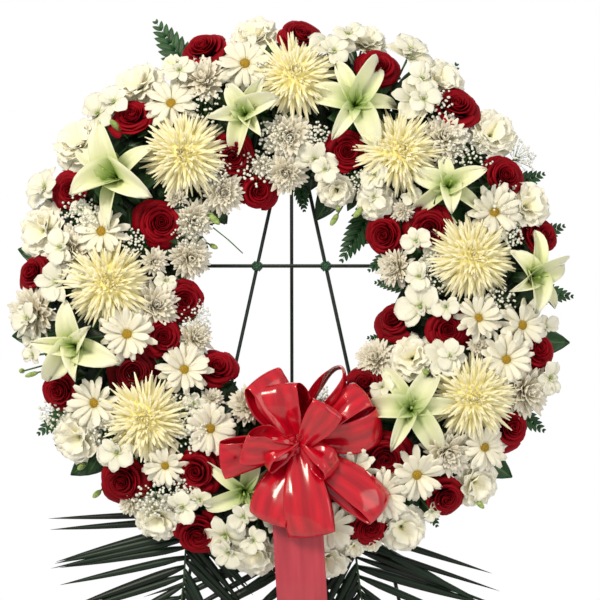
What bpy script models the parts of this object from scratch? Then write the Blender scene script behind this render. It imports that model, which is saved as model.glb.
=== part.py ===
"""Funeral wreath of roses, chrysanthemums, lilies and orchids on a folding wire easel.

Metres, +Z up. The wreath faces -Y, and the origin is on the floor at the middle of the object.
Everything in front of the easel is laid out in the wreath's own frame: x across, y up the lean of
the easel and z out towards the viewer, with its origin at the ring's centre on the ring's back.
"""

import math
from collections import namedtuple

import bmesh
import bpy
from mathutils import Matrix, Vector

MM = 0.001

# Easel of painted steel wire
LEAN = math.radians(10)  # the front legs lean back
WIRE = 2.75 * MM  # radius of every rod
GAP = 0.3 * MM  # between pieces that touch
RING_HEIGHT = 1.070  # ring's centre above the floor
RING_DEPTH = -0.0806  # ring's centre behind the middle of the object
APEX = 0.280  # where the front legs would meet, above the ring's centre
SPLAY = math.atan(0.217)  # each front leg from the easel's middle line
APEX_BEND = 10 * MM
HINGE_UP = 0.175  # hinge bar above the ring's centre
REAR_OPENING = math.radians(25.6)  # between the rear leg and the front legs
CROSSBAR_UP = 0.046  # above the ring's centre
CROSSBAR_REACH = 0.245  # half its length
PRONG_DEPTH = 26 * MM  # prongs reach this far into the foam
PRONG_BEND = WIRE + GAP + 0.2 * MM
CROSSBAR_LEVEL = -(GAP + WIRE)
LEG_LEVEL = CROSSBAR_LEVEL - 2 * WIRE - GAP
EYE_OUTER = 8.0 * MM
EYE_INNER = 3.45 * MM
EYE_SIDES = 12
LEG_BITE = 2.2 * MM  # rear leg's rod starts this far inside its eye
STOP_FOOT = 3.6 * MM  # stop starts above the hinge's middle line
STOP_PAST = 8 * MM  # and ends past the bend that it bears on
STOP_PLAY = 0.4 * MM
TIE_WIRE = 1.1 * MM
# Corners of one turn of a tie, as shares of its half width and half depth
TIE_CORNERS = ((-1, -0.55), (-1, 0.55), (-0.5, 1), (0.5, 1), (1, 0.55), (1, -0.55), (0.5, -1), (-0.5, -1))

# Foam ring in its tray
RING_RADIUS = 0.260
SEGMENTS = 24
FOAM_HALF = 45 * MM
FOAM_TOP = 58 * MM
FOAM_SHOULDER = 40 * MM  # level where its sides start to slope in
FOAM_FLAT = 22 * MM  # half the width of its flat top
TRAY_FLOOR = 3 * MM
TRAY_WALL = 3 * MM
TRAY_RIM = 22 * MM

# Flower bed: heads sit on an ellipse round the foam and their stems aim at its middle
BED_HALF = 0.128
BED_LEVEL = 48 * MM
BED_RISE = 60 * MM
FACING = 0.50  # how far a head turns with the ellipse instead of facing the front
AIM_LEVEL = 20 * MM
INNER_EDGE = 0.150
OUTER_EDGE = 0.385
STEM = 2.0 * MM
STEM_END = 18 * MM  # a rose's stem ends this far from its aim
CORE_STEM_END = 54 * MM  # and a white flower's
CORE_LOW = 26 * MM  # leafy core that a sector's white flowers are rooted in: levels and half widths
CORE_SHOULDER = 50 * MM
CORE_HIGH = 78 * MM
CORE_WIDE = 66 * MM
CORE_FLAT = 34 * MM
CORE_CLEAR = 0.6 * MM  # between core and foam
CORE_TRIM = math.radians(0.12)  # off both ends of a core
BED_STALK = 3.0 * MM  # stalk that joins a core to the foam
BED_STALK_LOW = 34 * MM
BED_STALK_HIGH = 70 * MM
SECTORS = 8
SECTOR_TURN = math.radians(15)
PETALS_LOWEST = 19 * MM  # white petals stay above the leaf collars

Kind = namedtuple("Kind", "height sunk lobes per_lobe phase layers top")
# Each layer: radius and height as shares of the head, notch depth, lift at the petal tips, and 1 where its
# petals are turned by half a petal
KINDS = {
    "rose": Kind(1.25, 0.55, 5, 2, 0.0, (
        (1.00, 0.50, 0.16, 0.05, 0), (0.68, 0.42, 0.08, 0.00, 1), (0.70, 0.84, 0.18, 0.04, 1),
        (0.36, 1.00, 0.20, 0.03, 0)), 0.76),
    "fuji": Kind(0.62, 0.40, 11, 2, 0.0, (
        (1.00, 0.24, 0.42, -0.10, 0), (0.66, 0.94, 0.44, 0.08, 1)), 0.72),
    "mum": Kind(1.10, 0.60, 5, 2, 0.0, (
        (0.98, 0.40, 0.28, -0.04, 0), (0.66, 0.92, 0.36, 0.06, 1)), 0.96),
    "daisy": Kind(0.50, 0.60, 8, 2, 0.0, (
        (1.10, 0.72, 0.58, 0.08, 0),), 0.98),
    "orchid": Kind(0.62, 0.60, 5, 2, 0.0, (
        (1.12, 0.80, 0.62, 0.06, 0),), 0.84),
    "lily": Kind(0.95, 0.45, 6, 2, 0.0, (
        (1.00, 0.92, 0.66, -0.12, 0), (0.34, 0.66, 0.20, 0.00, 0)), 0.36),
    "spray": Kind(0.80, 0.40, 5, 1, 0.0, (
        (0.20, 0.05, 0.00, 0.00, 0), (1.20, 0.60, 0.00, 0.00, 0), (1.20, 1.00, 0.00, 0.00, 0)), 1.00),
}

ROLL = 2.4  # radians, turn from one head to the next
THIRDS = tuple(2 * math.pi * k / 3 for k in range(3))

# Heads in millimetres from the ring's centre: across, up, radius
ROSES = (
    (-123, 329, 33), (11, 365, 31), (-227, 245, 29), (123, 322, 30), (234, 258, 34), (-88, 195, 34),
    (66, 206, 30), (-311, 143, 27), (-41, 140, 27), (-183, 101, 32), (305, 165, 29), (209, 100, 33),
    (145, 82, 28), (347, 59, 28), (-356, 24, 27), (-143, -11, 28), (-188, -57, 29), (-218, -116, 33),
    (-101, -106, 27), (-325, -134, 27), (148, -36, 26), (223, -57, 28), (342, -78, 29), (146, -211, 33),
    (308, -196, 32), (101, -137, 28), (-132, -258, 33), (-239, -269, 31), (-134, -342, 31),
    (220, -289, 28), (108, -333, 28),
)
WHITES = {
    "fuji": ((0, 280, 56), (-169, 185, 56), (157, 199, 56), (-250, 20, 58), (252, 42, 56),
             (-202, -187, 56), (243, -144, 56)),
    "lily": ((-238, 146, 66), (-74, 262, 50), (73, 252, 58), (209, 154, 50), (306, 12, 54),
             (-306, -86, 60), (186, -176, 56), (-81, -291, 50)),
    "daisy": ((-155, 254, 33), (-46, 344, 34), (-274, 84, 33), (276, 96, 34), (-246, -56, 34),
              (275, -34, 30), (316, -44, 32), (-151, -114, 32), (-266, -160, 33), (290, -104, 32),
              (95, -251, 30), (139, -274, 33), (181, -252, 33), (-172, -232, 28), (-113, -193, 32),
              (52, -333, 32), (262, -214, 30)),
    "mum": ((-53, 372, 34), (-221, 305, 36), (-294, 206, 38), (-352, 86, 36), (92, 366, 34),
            (213, 308, 36), (283, 222, 36), (338, 118, 34), (-100, 145, 33), (-8, 172, 32),
            (-140, 52, 33), (62, 146, 32), (126, 140, 34), (160, -102, 32), (-362, -34, 34),
            (-312, -200, 36), (-186, -318, 32), (-50, -372, 34), (50, -378, 32), (160, -338, 34),
            (262, -262, 34), (332, -140, 34), (-146, 98, 30), (150, 34, 30), (124, -98, 30),
            (-128, -62, 28), (-60, -160, 30), (84, -168, 28), (-20, 236, 30), (-300, 60, 32), (-198, -20, 30),
            (212, 208, 30), (-118, 300, 30), (204, -232, 30)),
    "orchid": ((66, 356, 30), (164, 338, 30), (178, 276, 28), (-280, 256, 28), (-348, 150, 28),
               (38, 186, 26), (187, -11, 30), (222, -100, 26), (-88, -330, 28), (-338, 24, 26)),
    "spray": ((-96, 262, 24), (252, 196, 24), (-290, 120, 22), (-160, -290, 24), (212, 20, 20),
              (-60, 170, 20), (300, -20, 18), (-330, -170, 18)),
}
SPRAY_BUDS = 4
TWIG_TURN = math.pi * (3 - math.sqrt(5))  # turn from one twig to the next
TWIG = 0.9 * MM
BUD = 5.0 * MM
FULL_BLOOM = 1.16  # white heads press into each other
PRESS = 0.72
SETTLING = 8

# Leaves of the collars: angle in degrees, length in millimetres, 1 for a cut fern leaf and 0 for a plain one
COLLAR_LEAVES_OUT = ((12, 96, 1), (27, 84, 1), (43, 78, 0), (58, 96, 1), (76, 74, 0), (97, 82, 0),
                     (114, 104, 1), (137, 76, 0), (155, 84, 1), (172, 80, 0), (190, 84, 0), (206, 90, 1),
                     (221, 84, 0), (318, 86, 0), (334, 88, 1), (350, 82, 0))
COLLAR_LEAVES_IN = ((4, 56, 1), (38, 52, 0), (66, 74, 0), (88, 66, 1), (128, 46, 0), (172, 48, 0),
                    (214, 44, 1), (252, 50, 0), (304, 46, 0), (338, 56, 1))
COLLAR_STRIP = 5 * MM  # width of the strip that a collar's leaves grow from
COLLAR_LOW = 4 * MM
COLLAR_HIGH = 15 * MM
COLLAR_LEAF_LEVEL = 9 * MM
COLLAR_LEAF_STEP = 2.5 * MM  # every other leaf sits higher by this
COLLAR_STEP = 15  # degrees to a flat of the strip
COLLAR_MARGIN = 8  # degrees of strip past the last leaf
LEAF_THICK = 1.6 * MM
LEAF_CROWN = 2.0 * MM

# Palm fronds: start angle, level, rib points across and up, then for the left and right rows of leaflets
# their length, their angle from the rib at its start and at its tip
PALMS = {
    "palm_left": (243, 10, ((-150, -313), (-152, -356), (-156, -420), (-166, -500), (-186, -580)),
                  ((205, 84, 44), (140, 46, 30))),
    "palm_right": (285, 10, ((88, -334), (92, -366), (100, -430), (114, -505), (138, -580)),
                   ((135, 46, 30), (225, 66, 36))),
    "palm_centre": (268, 1, ((-10, -350), (-12, -392), (-8, -455), (0, -525), (10, -600)),
                    ((225, 68, 34), (190, 54, 30))),
}
LEAFLETS = 8  # along each side of a rib
LEAFLET_HALF = 5.5 * MM  # half its width
PALM_STALK = 2.4 * MM
PALM_IN = (0.284, 30 * MM)  # distance and level of the stalk's end in the foam
PALM_OUT = (0.324, 27 * MM)  # and outside it

# Satin ribbon
RIBBON = 70 * MM
RIBBON_THICK = 1.0 * MM
BOW_CENTRE = Vector((0.012, -0.217, 0.132))
# Loops: direction in degrees, length, width, rise of the loop and level of its root
BOW_LOOPS = ((125, 108, 58, 40, -6), (98, 90, 56, 46, 2), (66, 122, 18, 16, -12), (34, 114, 42, 36, -4),
             (10, 116, 40, 30, -8), (-38, 146, 52, 32, -6), (-78, 128, 62, 44, 0), (-114, 118, 54, 34, -6),
             (188, 114, 46, 28, -8), (60, 64, 46, 50, 12), (158, 56, 36, 44, 12))
# Along a loop: reach as a share of its length, level as a share of its rise, width as a share of its width
LOOP_SECTION = ((0.02, 0.0, 0.3), (0.80, 0.08, 1.0), (1.0, 0.44, 1.0), (0.78, 0.95, 0.9), (0.04, 0.15, 0.3))
KNOT = 15 * MM
PICK = 2.0 * MM  # radius of the pick that the bow is wired to
PICK_FOOT = Vector((BOW_CENTRE.x, -0.2585, 32 * MM))
PICK_TOP = Vector((BOW_CENTRE.x, -0.227, BOW_CENTRE.z))
TAIL_LENGTH = 0.46
TAIL_START = BOW_CENTRE + Vector((-4.0, -20.0, -7.0)) * MM
TAIL_SHOULDER = TAIL_START + Vector((1.0, -55.0, -15.0)) * MM  # where the ribbon starts to hang
TAIL_DRIFT = Vector((8.0, -26.0, 0.0)) * MM  # of its end from straight down
TAIL_STEPS = 6
TAIL_SWING = 5 * MM
TAIL_WAVES = 1.6
TAIL_NOTCH = 26 * MM

EVERYTHING = 0.6  # past the object on every side

Head = namedtuple("Head", "kind radius matrix aim")


def material(name, colour, roughness):
    """Principled material of one plain colour."""
    made = bpy.data.materials.new(name)
    made.use_nodes = True
    shader = made.node_tree.nodes["Principled BSDF"]
    shader.inputs["Base Color"].default_value = (*colour, 1.0)
    shader.inputs["Roughness"].default_value = roughness
    return made


def add_object(name, bm, parent=None, finish=None):
    """Object from a bmesh, with its faces made triangles and pointing out."""
    bmesh.ops.remove_doubles(bm, verts=bm.verts, dist=1e-6)
    bmesh.ops.triangulate(bm, faces=bm.faces)
    bmesh.ops.recalc_face_normals(bm, faces=bm.faces)
    mesh = bpy.data.meshes.new(name)
    bm.to_mesh(mesh)
    bm.free()
    made = bpy.data.objects.new(name, mesh)
    bpy.context.scene.collection.objects.link(made)
    made.parent = parent
    if finish:
        mesh.materials.append(finish)
    return made


def volume_of(island):
    """Volume enclosed by a closed island of triangles."""
    total = 0.0
    for face in island:
        a, b, c = (v.co for v in face.verts)
        total += a.dot(b.cross(c)) / 6
    return total


def islands(bm):
    """The bmesh's faces, grouped by body."""
    left, found = set(bm.faces), []
    while left:
        stack = [left.pop()]
        island = []
        while stack:
            face = stack.pop()
            island.append(face)
            for edge in face.edges:
                for other in edge.link_faces:
                    if other in left:
                        left.remove(other)
                        stack.append(other)
        found.append(island)
    return found


def keep_largest(mesh):
    """Drops the loose scraps that a cut leaves, and keeps the main body."""
    bm = bmesh.new()
    bm.from_mesh(mesh)
    bmesh.ops.triangulate(bm, faces=bm.faces)
    groups = sorted(islands(bm), key=volume_of)
    scraps = [face for group in groups[:-1] for face in group]
    bmesh.ops.delete(bm, geom=scraps, context="FACES")
    bm.to_mesh(mesh)
    bm.free()


def combine(target, others, operation, solver="MANIFOLD"):
    """Applies one Boolean between an object and several others, then removes those."""
    group = bpy.data.collections.new("operands")
    bpy.context.scene.collection.children.link(group)
    for other in others:
        group.objects.link(other)
    step = target.modifiers.new(operation.lower(), "BOOLEAN")
    step.operation = operation
    step.operand_type = "COLLECTION"
    step.collection = group
    step.solver = solver
    bpy.context.view_layer.update()
    graph = bpy.context.evaluated_depsgraph_get()
    mesh = bpy.data.meshes.new_from_object(target.evaluated_get(graph))
    target.modifiers.clear()
    target.data = mesh
    for other in others:
        bpy.data.objects.remove(other)
    bpy.data.collections.remove(group)
    keep_largest(mesh)
    return target


def bridge(bm, rings, closed_ends=True):
    """Skins rings of equal count, each a list of points, and can close both ends."""
    rows = [[bm.verts.new(point) for point in ring] for ring in rings]
    count = len(rows[0])
    for low, high in zip(rows, rows[1:]):
        for i in range(count):
            j = (i + 1) % count
            bm.faces.new((low[i], low[j], high[j], high[i]))
    if closed_ends:
        bm.faces.new(rows[0][::-1])
        bm.faces.new(rows[-1])
    return rows


def bridge_round(bm, rings):
    """Skins rings of equal count that run round in a circle back to the first."""
    rows = bridge(bm, rings, closed_ends=False)
    count = len(rows[0])
    for i in range(count):
        j = (i + 1) % count
        bm.faces.new((rows[-1][i], rows[-1][j], rows[0][j], rows[0][i]))


def rod(bm, points, radius=WIRE, sides=8):
    """Round rod along points, mitred where it bends."""
    points = [Vector(p) for p in points]
    rings = []
    forward = (points[1] - points[0]).normalized()
    side = forward.orthogonal().normalized()
    for i, point in enumerate(points):
        before = (point - points[i - 1]).normalized() if i else forward
        after = (points[i + 1] - point).normalized() if i + 1 < len(points) else before
        mitre = (before + after).normalized()
        side = (side - side.dot(before) * before).normalized()
        across = before.cross(side)
        ring = []
        for k in range(sides):
            angle = 2 * math.pi * (k + 0.5) / sides
            start = point + radius * (math.cos(angle) * side + math.sin(angle) * across)
            ring.append(start + before * ((point - start).dot(mitre) / before.dot(mitre)))
        rings.append(ring)
    bridge(bm, rings)


def turned(bm, profile, start=0.0, sweep=2 * math.pi, steps=SEGMENTS, start_trim=0.0):
    """Ring turned about the wreath's axis from a closed profile of distance and level."""
    rings = []
    full = sweep > 2 * math.pi - 1e-6
    for i in range(steps + (0 if full else 1)):
        angle = start + sweep * i / steps
        if i == 0:
            angle += start_trim
        if i == steps:
            angle -= start_trim
        rings.append([(r * math.cos(angle), r * math.sin(angle), z) for r, z in profile])
    if full:
        bridge_round(bm, rings)
    else:
        bridge(bm, rings)


def plate(bm, matrix, outline, thickness, crown=0.0):
    """Thin lens: an outline with its middle raised, sharp at the edge and thick at the middle."""
    rim = [bm.verts.new(matrix @ Vector(p)) for p in outline]
    middle = sum((Vector(p) for p in outline), Vector()) / len(outline)
    over = bm.verts.new(matrix @ (middle + Vector((0, 0, crown + thickness / 2))))
    under = bm.verts.new(matrix @ (middle + Vector((0, 0, crown - thickness / 2))))
    for i, vert in enumerate(rim):
        after = rim[(i + 1) % len(rim)]
        bm.faces.new((vert, after, over))
        bm.faces.new((after, vert, under))


def wreath_matrix():
    """The wreath's frame in the world."""
    place = Vector((0.0, RING_DEPTH, RING_HEIGHT))
    return Matrix.Translation(place) @ Matrix.Rotation(math.pi / 2 - LEAN, 4, "X")


def leg_foot(start, direction):
    """Point 10 mm past where a leg's middle line meets the floor, in the wreath's frame."""
    frame = wreath_matrix()
    top, along = frame @ start, frame.to_3x3() @ direction
    return start + direction * (10 * MM - top.z / along.z)


def cut_at_floor(thing, frame):
    """Cuts a leg flat where it stands on the floor."""
    bm = bmesh.new()
    bm.from_mesh(thing.data)
    bm.transform(frame)
    everything = bm.verts[:] + bm.edges[:] + bm.faces[:]
    found = bmesh.ops.bisect_plane(
        bm, geom=everything, plane_co=(0, 0, 0), plane_no=(0, 0, 1), clear_inner=True
    )
    rim = [e for e in found["geom_cut"] if isinstance(e, bmesh.types.BMEdge)]
    bmesh.ops.holes_fill(bm, edges=rim, sides=0)
    bm.transform(frame.inverted())
    bmesh.ops.triangulate(bm, faces=bm.faces)
    bm.to_mesh(thing.data)
    bm.free()


def make_front_frame(frame, parent, paint):
    """Both front legs, bent from one rod at the top, with the hinge bar welded between them."""
    bend_middle = Vector((0, APEX - APEX_BEND / math.sin(SPLAY), LEG_LEVEL))
    points = []
    for side in (-1, 1):
        down = Vector((side * math.sin(SPLAY), -math.cos(SPLAY), 0))
        touch = bend_middle + APEX_BEND * Vector((side * math.cos(SPLAY), math.sin(SPLAY), 0))
        foot = leg_foot(touch, down)
        points += [foot, touch] if side < 0 else [touch, foot]
    arc_steps = 4
    sweep = math.pi - 2 * SPLAY
    arc = []
    for i in range(1, arc_steps):
        angle = math.pi - SPLAY - sweep * i / arc_steps
        arc.append(bend_middle + APEX_BEND * Vector((math.cos(angle), math.sin(angle), 0)))
    points[2:2] = arc
    bm = bmesh.new()
    rod(bm, points)
    made = add_object("front_legs", bm, parent, paint)
    half = (APEX - HINGE_UP) * math.tan(SPLAY)
    bm = bmesh.new()
    rod(bm, [(-half, HINGE_UP, LEG_LEVEL), (half, HINGE_UP, LEG_LEVEL)])
    combine(made, [add_object("hinge_bar", bm, parent)], "UNION", "EXACT")
    cut_at_floor(made, frame)


def make_rear_leg(frame, parent, paint):
    """Rear leg with the eye that turns on the hinge bar and the stop that holds it open."""
    hinge = Vector((0, HINGE_UP, LEG_LEVEL))
    bm = bmesh.new()
    rings = []
    inner = EYE_INNER / math.cos(math.pi / EYE_SIDES)  # its flats stay clear of the bar
    for side, radius in ((-1, inner), (-1, EYE_OUTER), (1, EYE_OUTER), (1, inner)):
        ring = []
        for i in range(EYE_SIDES):
            angle = 2 * math.pi * i / EYE_SIDES
            ring.append(hinge + Vector((side * WIRE, radius * math.cos(angle), radius * math.sin(angle))))
        rings.append(ring)
    bridge_round(bm, rings)
    made = add_object("rear_leg", bm, parent, paint)
    down = Vector((0, -math.cos(REAR_OPENING), -math.sin(REAR_OPENING)))
    start = hinge + down * (EYE_OUTER - LEG_BITE)
    bm = bmesh.new()
    rod(bm, [start, leg_foot(start, down)])
    leg = add_object("leg", bm, parent)
    bend_top = APEX - APEX_BEND / math.sin(SPLAY) + APEX_BEND
    level = LEG_LEVEL - 2 * WIRE - STOP_PLAY
    bm = bmesh.new()
    rod(bm, [(0, HINGE_UP + STOP_FOOT, level), (0, bend_top + STOP_PAST, level)])
    stop = add_object("stop", bm, parent)
    combine(made, [leg, stop], "UNION", "EXACT")
    cut_at_floor(made, frame)


def make_crossbar(parent, paint):
    """Crossbar in front of the legs, its ends bent forward as prongs that hold the ring."""
    path = []
    steps = 2
    for side in (-1, 1):
        end = [Vector((side * CROSSBAR_REACH, CROSSBAR_UP, PRONG_DEPTH))]
        for i in range(steps + 1):
            angle = math.pi / 2 * i / steps
            across = CROSSBAR_REACH - PRONG_BEND + PRONG_BEND * math.cos(angle)
            level = CROSSBAR_LEVEL + PRONG_BEND - PRONG_BEND * math.sin(angle)
            end.append(Vector((side * across, CROSSBAR_UP, level)))
        path += end if side < 0 else end[::-1]
    bm = bmesh.new()
    rod(bm, path)
    add_object("crossbar", bm, parent, paint)


def tie_loop(name, middle, slant, parent):
    """One turn of tie wire round a leg and the crossbar, slanting across their crossing."""
    along = Vector((math.cos(slant), math.sin(slant), 0))
    out = Vector((0, 0, 1))
    half = 2 * WIRE + GAP / 2 + 2 * GAP + TIE_WIRE  # half the stack's depth plus the wire
    wide = WIRE * 2.1 + GAP + TIE_WIRE
    corners = []
    for a, b in TIE_CORNERS:
        corners.append(middle + along * (a * wide) + out * (b * half))
    bm = bmesh.new()
    rings = []
    normal = along.cross(out)
    for corner in corners:
        spoke = (corner - middle).normalized()
        ring = []
        for k in range(4):
            angle = math.pi / 2 * k + math.pi / 4
            away = math.cos(angle) * spoke + math.sin(angle) * normal
            ring.append(corner + math.sqrt(2) * TIE_WIRE * away)
        rings.append(ring)
    bridge_round(bm, rings)
    return add_object(name, bm, parent)


def make_tie(side, parent, paint):
    """Two crossed turns of tie wire that lash the crossbar to a front leg."""
    across = side * (APEX - CROSSBAR_UP) * math.tan(SPLAY)
    middle = Vector((across, CROSSBAR_UP, (CROSSBAR_LEVEL + LEG_LEVEL) / 2))
    lean = side * SPLAY / 2
    name = "tie_right" if side > 0 else "tie_left"
    made = tie_loop(name, middle, math.pi / 4 + lean, parent)
    made.data.materials.append(paint)
    other = tie_loop("turn", middle, -math.pi / 4 + lean, parent)
    combine(made, [other], "UNION", "EXACT")


def prong_hole(side, low, high):
    """Clearance round one prong of the crossbar between two levels."""
    prong = Vector((side * CROSSBAR_REACH, CROSSBAR_UP, 0))
    return rod_cutter([prong + Vector((0, 0, low)), prong + Vector((0, 0, high))], WIRE + 3 * GAP)


def make_tray(parent, plastic):
    """Tray of the foam ring: a channel open to the front, with a hole for each prong."""
    inner = RING_RADIUS - FOAM_HALF - 2 * GAP
    outer = RING_RADIUS + FOAM_HALF + 2 * GAP
    profile = (
        (inner, TRAY_RIM), (inner - TRAY_WALL, TRAY_RIM), (inner - TRAY_WALL, 0), (outer + TRAY_WALL, 0),
        (outer + TRAY_WALL, TRAY_RIM), (outer, TRAY_RIM), (outer, TRAY_FLOOR), (inner, TRAY_FLOOR),
    )
    bm = bmesh.new()
    turned(bm, profile)
    tray = add_object("ring_tray", bm, parent, plastic)
    combine(tray, [prong_hole(side, -20 * MM, 20 * MM) for side in (-1, 1)], "DIFFERENCE")


def foam_profile():
    """Section of the foam ring: upright sides and a chamfered top."""
    return (
        (RING_RADIUS - FOAM_HALF, TRAY_FLOOR + GAP), (RING_RADIUS + FOAM_HALF, TRAY_FLOOR + GAP),
        (RING_RADIUS + FOAM_HALF, FOAM_SHOULDER), (RING_RADIUS + FOAM_FLAT, FOAM_TOP),
        (RING_RADIUS - FOAM_FLAT, FOAM_TOP), (RING_RADIUS - FOAM_HALF, FOAM_SHOULDER),
    )


def core_profile(grow=0.0):
    """Section of the leafy bed that the white flowers of a sector are rooted in."""
    half, lift = FOAM_HALF + CORE_CLEAR - grow, FOAM_TOP + CORE_CLEAR - grow
    bend, flat = FOAM_SHOULDER + GAP, FOAM_FLAT + 0.2 * MM
    wide, high, low = CORE_WIDE + grow, CORE_HIGH + grow, CORE_LOW - grow
    points = (
        (-half, low), (-half, bend), (-flat, lift), (flat, lift), (half, bend), (half, low), (wide, low),
        (wide, CORE_SHOULDER), (CORE_FLAT, high), (-CORE_FLAT, high), (-wide, CORE_SHOULDER), (-wide, low),
    )
    return tuple((RING_RADIUS + r, z) for r, z in points)


def bed_place(across, up, sunk, roll=0.0):
    """A head's matrix at a place across and up on the bed, and its stem's aim in that matrix's frame."""
    distance = math.hypot(across, up)
    radial = Vector((across / distance, up / distance, 0))
    share = max(-0.98, min(0.98, (distance - RING_RADIUS) / BED_HALF))
    head = Vector((across, up, BED_LEVEL + BED_RISE * math.sqrt(1 - share ** 2)))
    turn = FACING * math.asin(share)
    out = math.sin(turn) * radial + math.cos(turn) * Vector((0, 0, 1))
    spin = out.to_track_quat("Z", "Y").to_matrix().to_4x4()
    matrix = Matrix.Translation(head - out * sunk) @ spin @ Matrix.Rotation(roll, 4, "Z")
    aim = radial * RING_RADIUS + Vector((0, 0, AIM_LEVEL))
    return matrix, matrix.inverted() @ aim


def settled_heads():
    """Every head, after crowded ones have pushed each other apart."""
    spots = [["rose", Vector((x, y)) * MM, r * MM] for x, y, r in ROSES]
    for kind, places in WHITES.items():
        spots += [[kind, Vector((x, y)) * MM, FULL_BLOOM * r * MM] for x, y, r in places]
    for _ in range(SETTLING):
        for i, (kind, spot, radius) in enumerate(spots):
            for other, beside, size in spots[i + 1:]:
                both_roses = kind == other == "rose"
                least = (radius + size) * (1.0 if both_roses else PRESS) + (2 * MM if both_roses else 0)
                apart = beside - spot
                if apart.length < least:
                    push = apart.normalized() * (least - apart.length) / 2
                    spot -= push
                    beside += push
        for _, spot, radius in spots:
            spot *= max(INNER_EDGE, min(OUTER_EDGE, spot.length)) / spot.length
    return [make_head(kind, spot.x, spot.y, radius, i) for i, (kind, spot, radius) in enumerate(spots)]


def make_head(kind, across, up, radius, number):
    """A head's size and place, rolled by its number so that no two petals line up."""
    height = KINDS[kind].height * radius
    matrix, aim = bed_place(across, up, KINDS[kind].sunk * height, roll=number * ROLL)
    return Head(kind, radius, matrix, aim)


def head_rings(kind, radius):
    """Rings of points of a head, from its foot to its middle, with the petals as lobes."""
    form = KINDS[kind]
    height = form.height * radius
    count = form.lobes * form.per_lobe
    rings = []
    for share, level, notch, lift, turned_row in form.layers:
        ring = []
        for i in range(count):
            angle = 2 * math.pi * i / count
            wave = math.cos(form.lobes * angle + form.phase + (math.pi if turned_row else 0))
            reach = share * radius * (1 + notch * (wave - 1) / 2)
            ring.append((reach * math.cos(angle), reach * math.sin(angle), height * (level + lift * wave)))
        rings.append(ring)
    return rings, height


def three(radius, level, shift=0.0):
    """Three points round a stem."""
    return [(radius * math.cos(a + shift), radius * math.sin(a + shift), level) for a in THIRDS]


def fan(bm, few, many):
    """Skins the step from a ring of few points to one of many."""
    share = len(few) / len(many)
    for i in range(len(many)):
        j = (i + 1) % len(many)
        low, high = round(i * share) % len(few), round((i + 1) * share) % len(few)
        bm.faces.new((many[i], many[j], few[high]))
        if low != high:
            bm.faces.new((many[i], few[high], few[low]))


def stem_rings(head, radius, stem_end):
    """The two ends of a head's stem: stem_end short of its aim, and at the head's foot."""
    end = head.aim * (1 - stem_end / head.aim.length)
    foot = three(radius, 0.0)
    return [tuple(end + Vector(point)) for point in foot], foot


def head_mesh(head, stem_end):
    """A head's closed shape, with a stem down to stem_end from the foam's middle."""
    rings, height = head_rings(head.kind, head.radius)
    bm = bmesh.new()
    rows = bridge(bm, rings, closed_ends=False)
    crown = bm.verts.new((0, 0, height * KINDS[head.kind].top))
    count = len(rows[0])
    for i in range(count):
        bm.faces.new((rows[-1][i], rows[-1][(i + 1) % count], crown))
    stem = [[bm.verts.new(point) for point in ring] for ring in stem_rings(head, STEM, stem_end)]
    for i in range(3):
        j = (i + 1) % 3
        bm.faces.new((stem[0][i], stem[0][j], stem[1][j], stem[1][i]))
    bm.faces.new(stem[0])
    fan(bm, stem[1], rows[0])
    bm.transform(head.matrix)
    return add_object("petals", bm)


def make_hull(bm):
    """Turns loose points into their convex hull."""
    bmesh.ops.convex_hull(bm, input=bm.verts)
    bmesh.ops.delete(bm, geom=[v for v in bm.verts if not v.link_faces], context="VERTS")


def envelope(head, stem_end, slack=0.5 * MM):
    """Simple solids just larger than a head and its stem, which cut its neighbours clear of it."""
    rings, height = head_rings(head.kind, head.radius)
    bm = bmesh.new()
    for ring in rings:
        for point in ring:
            bm.verts.new(point)
    for point in three(STEM + 2 * GAP, 0.0):
        bm.verts.new(point)
    bm.verts.new((0, 0, height * KINDS[head.kind].top))
    make_hull(bm)
    grow = 1 + slack / head.radius
    middle = Vector((0, 0, height / 2))
    bmesh.ops.scale(bm, vec=(grow, grow, grow * 1.02), space=Matrix.Translation(-middle), verts=bm.verts)
    bm.transform(head.matrix)
    return [add_object("clearance", bm), stem_clearance(head, stem_end)]


def stem_clearance(head, stem_end):
    """Solid just larger than a head's stem."""
    bm = bmesh.new()
    wide = STEM + 2 * GAP
    low, foot = stem_rings(head, wide, stem_end - 2 * GAP)
    top = three(wide, 0.3 * KINDS[head.kind].height * head.radius)
    bridge(bm, [low, foot, top])
    bm.transform(head.matrix)
    return add_object("stem_clearance", bm)


def reach_of(head):
    """Middle and radius of a ball round a head."""
    height = KINDS[head.kind].height * head.radius
    return head.matrix @ Vector((0, 0, height / 2)), math.hypot(head.radius * 1.12, height / 2)


def near(first, second):
    """Whether two heads may touch."""
    (a, ra), (b, rb) = reach_of(first), reach_of(second)
    return (a - b).length < ra + rb + 12 * MM


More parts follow.
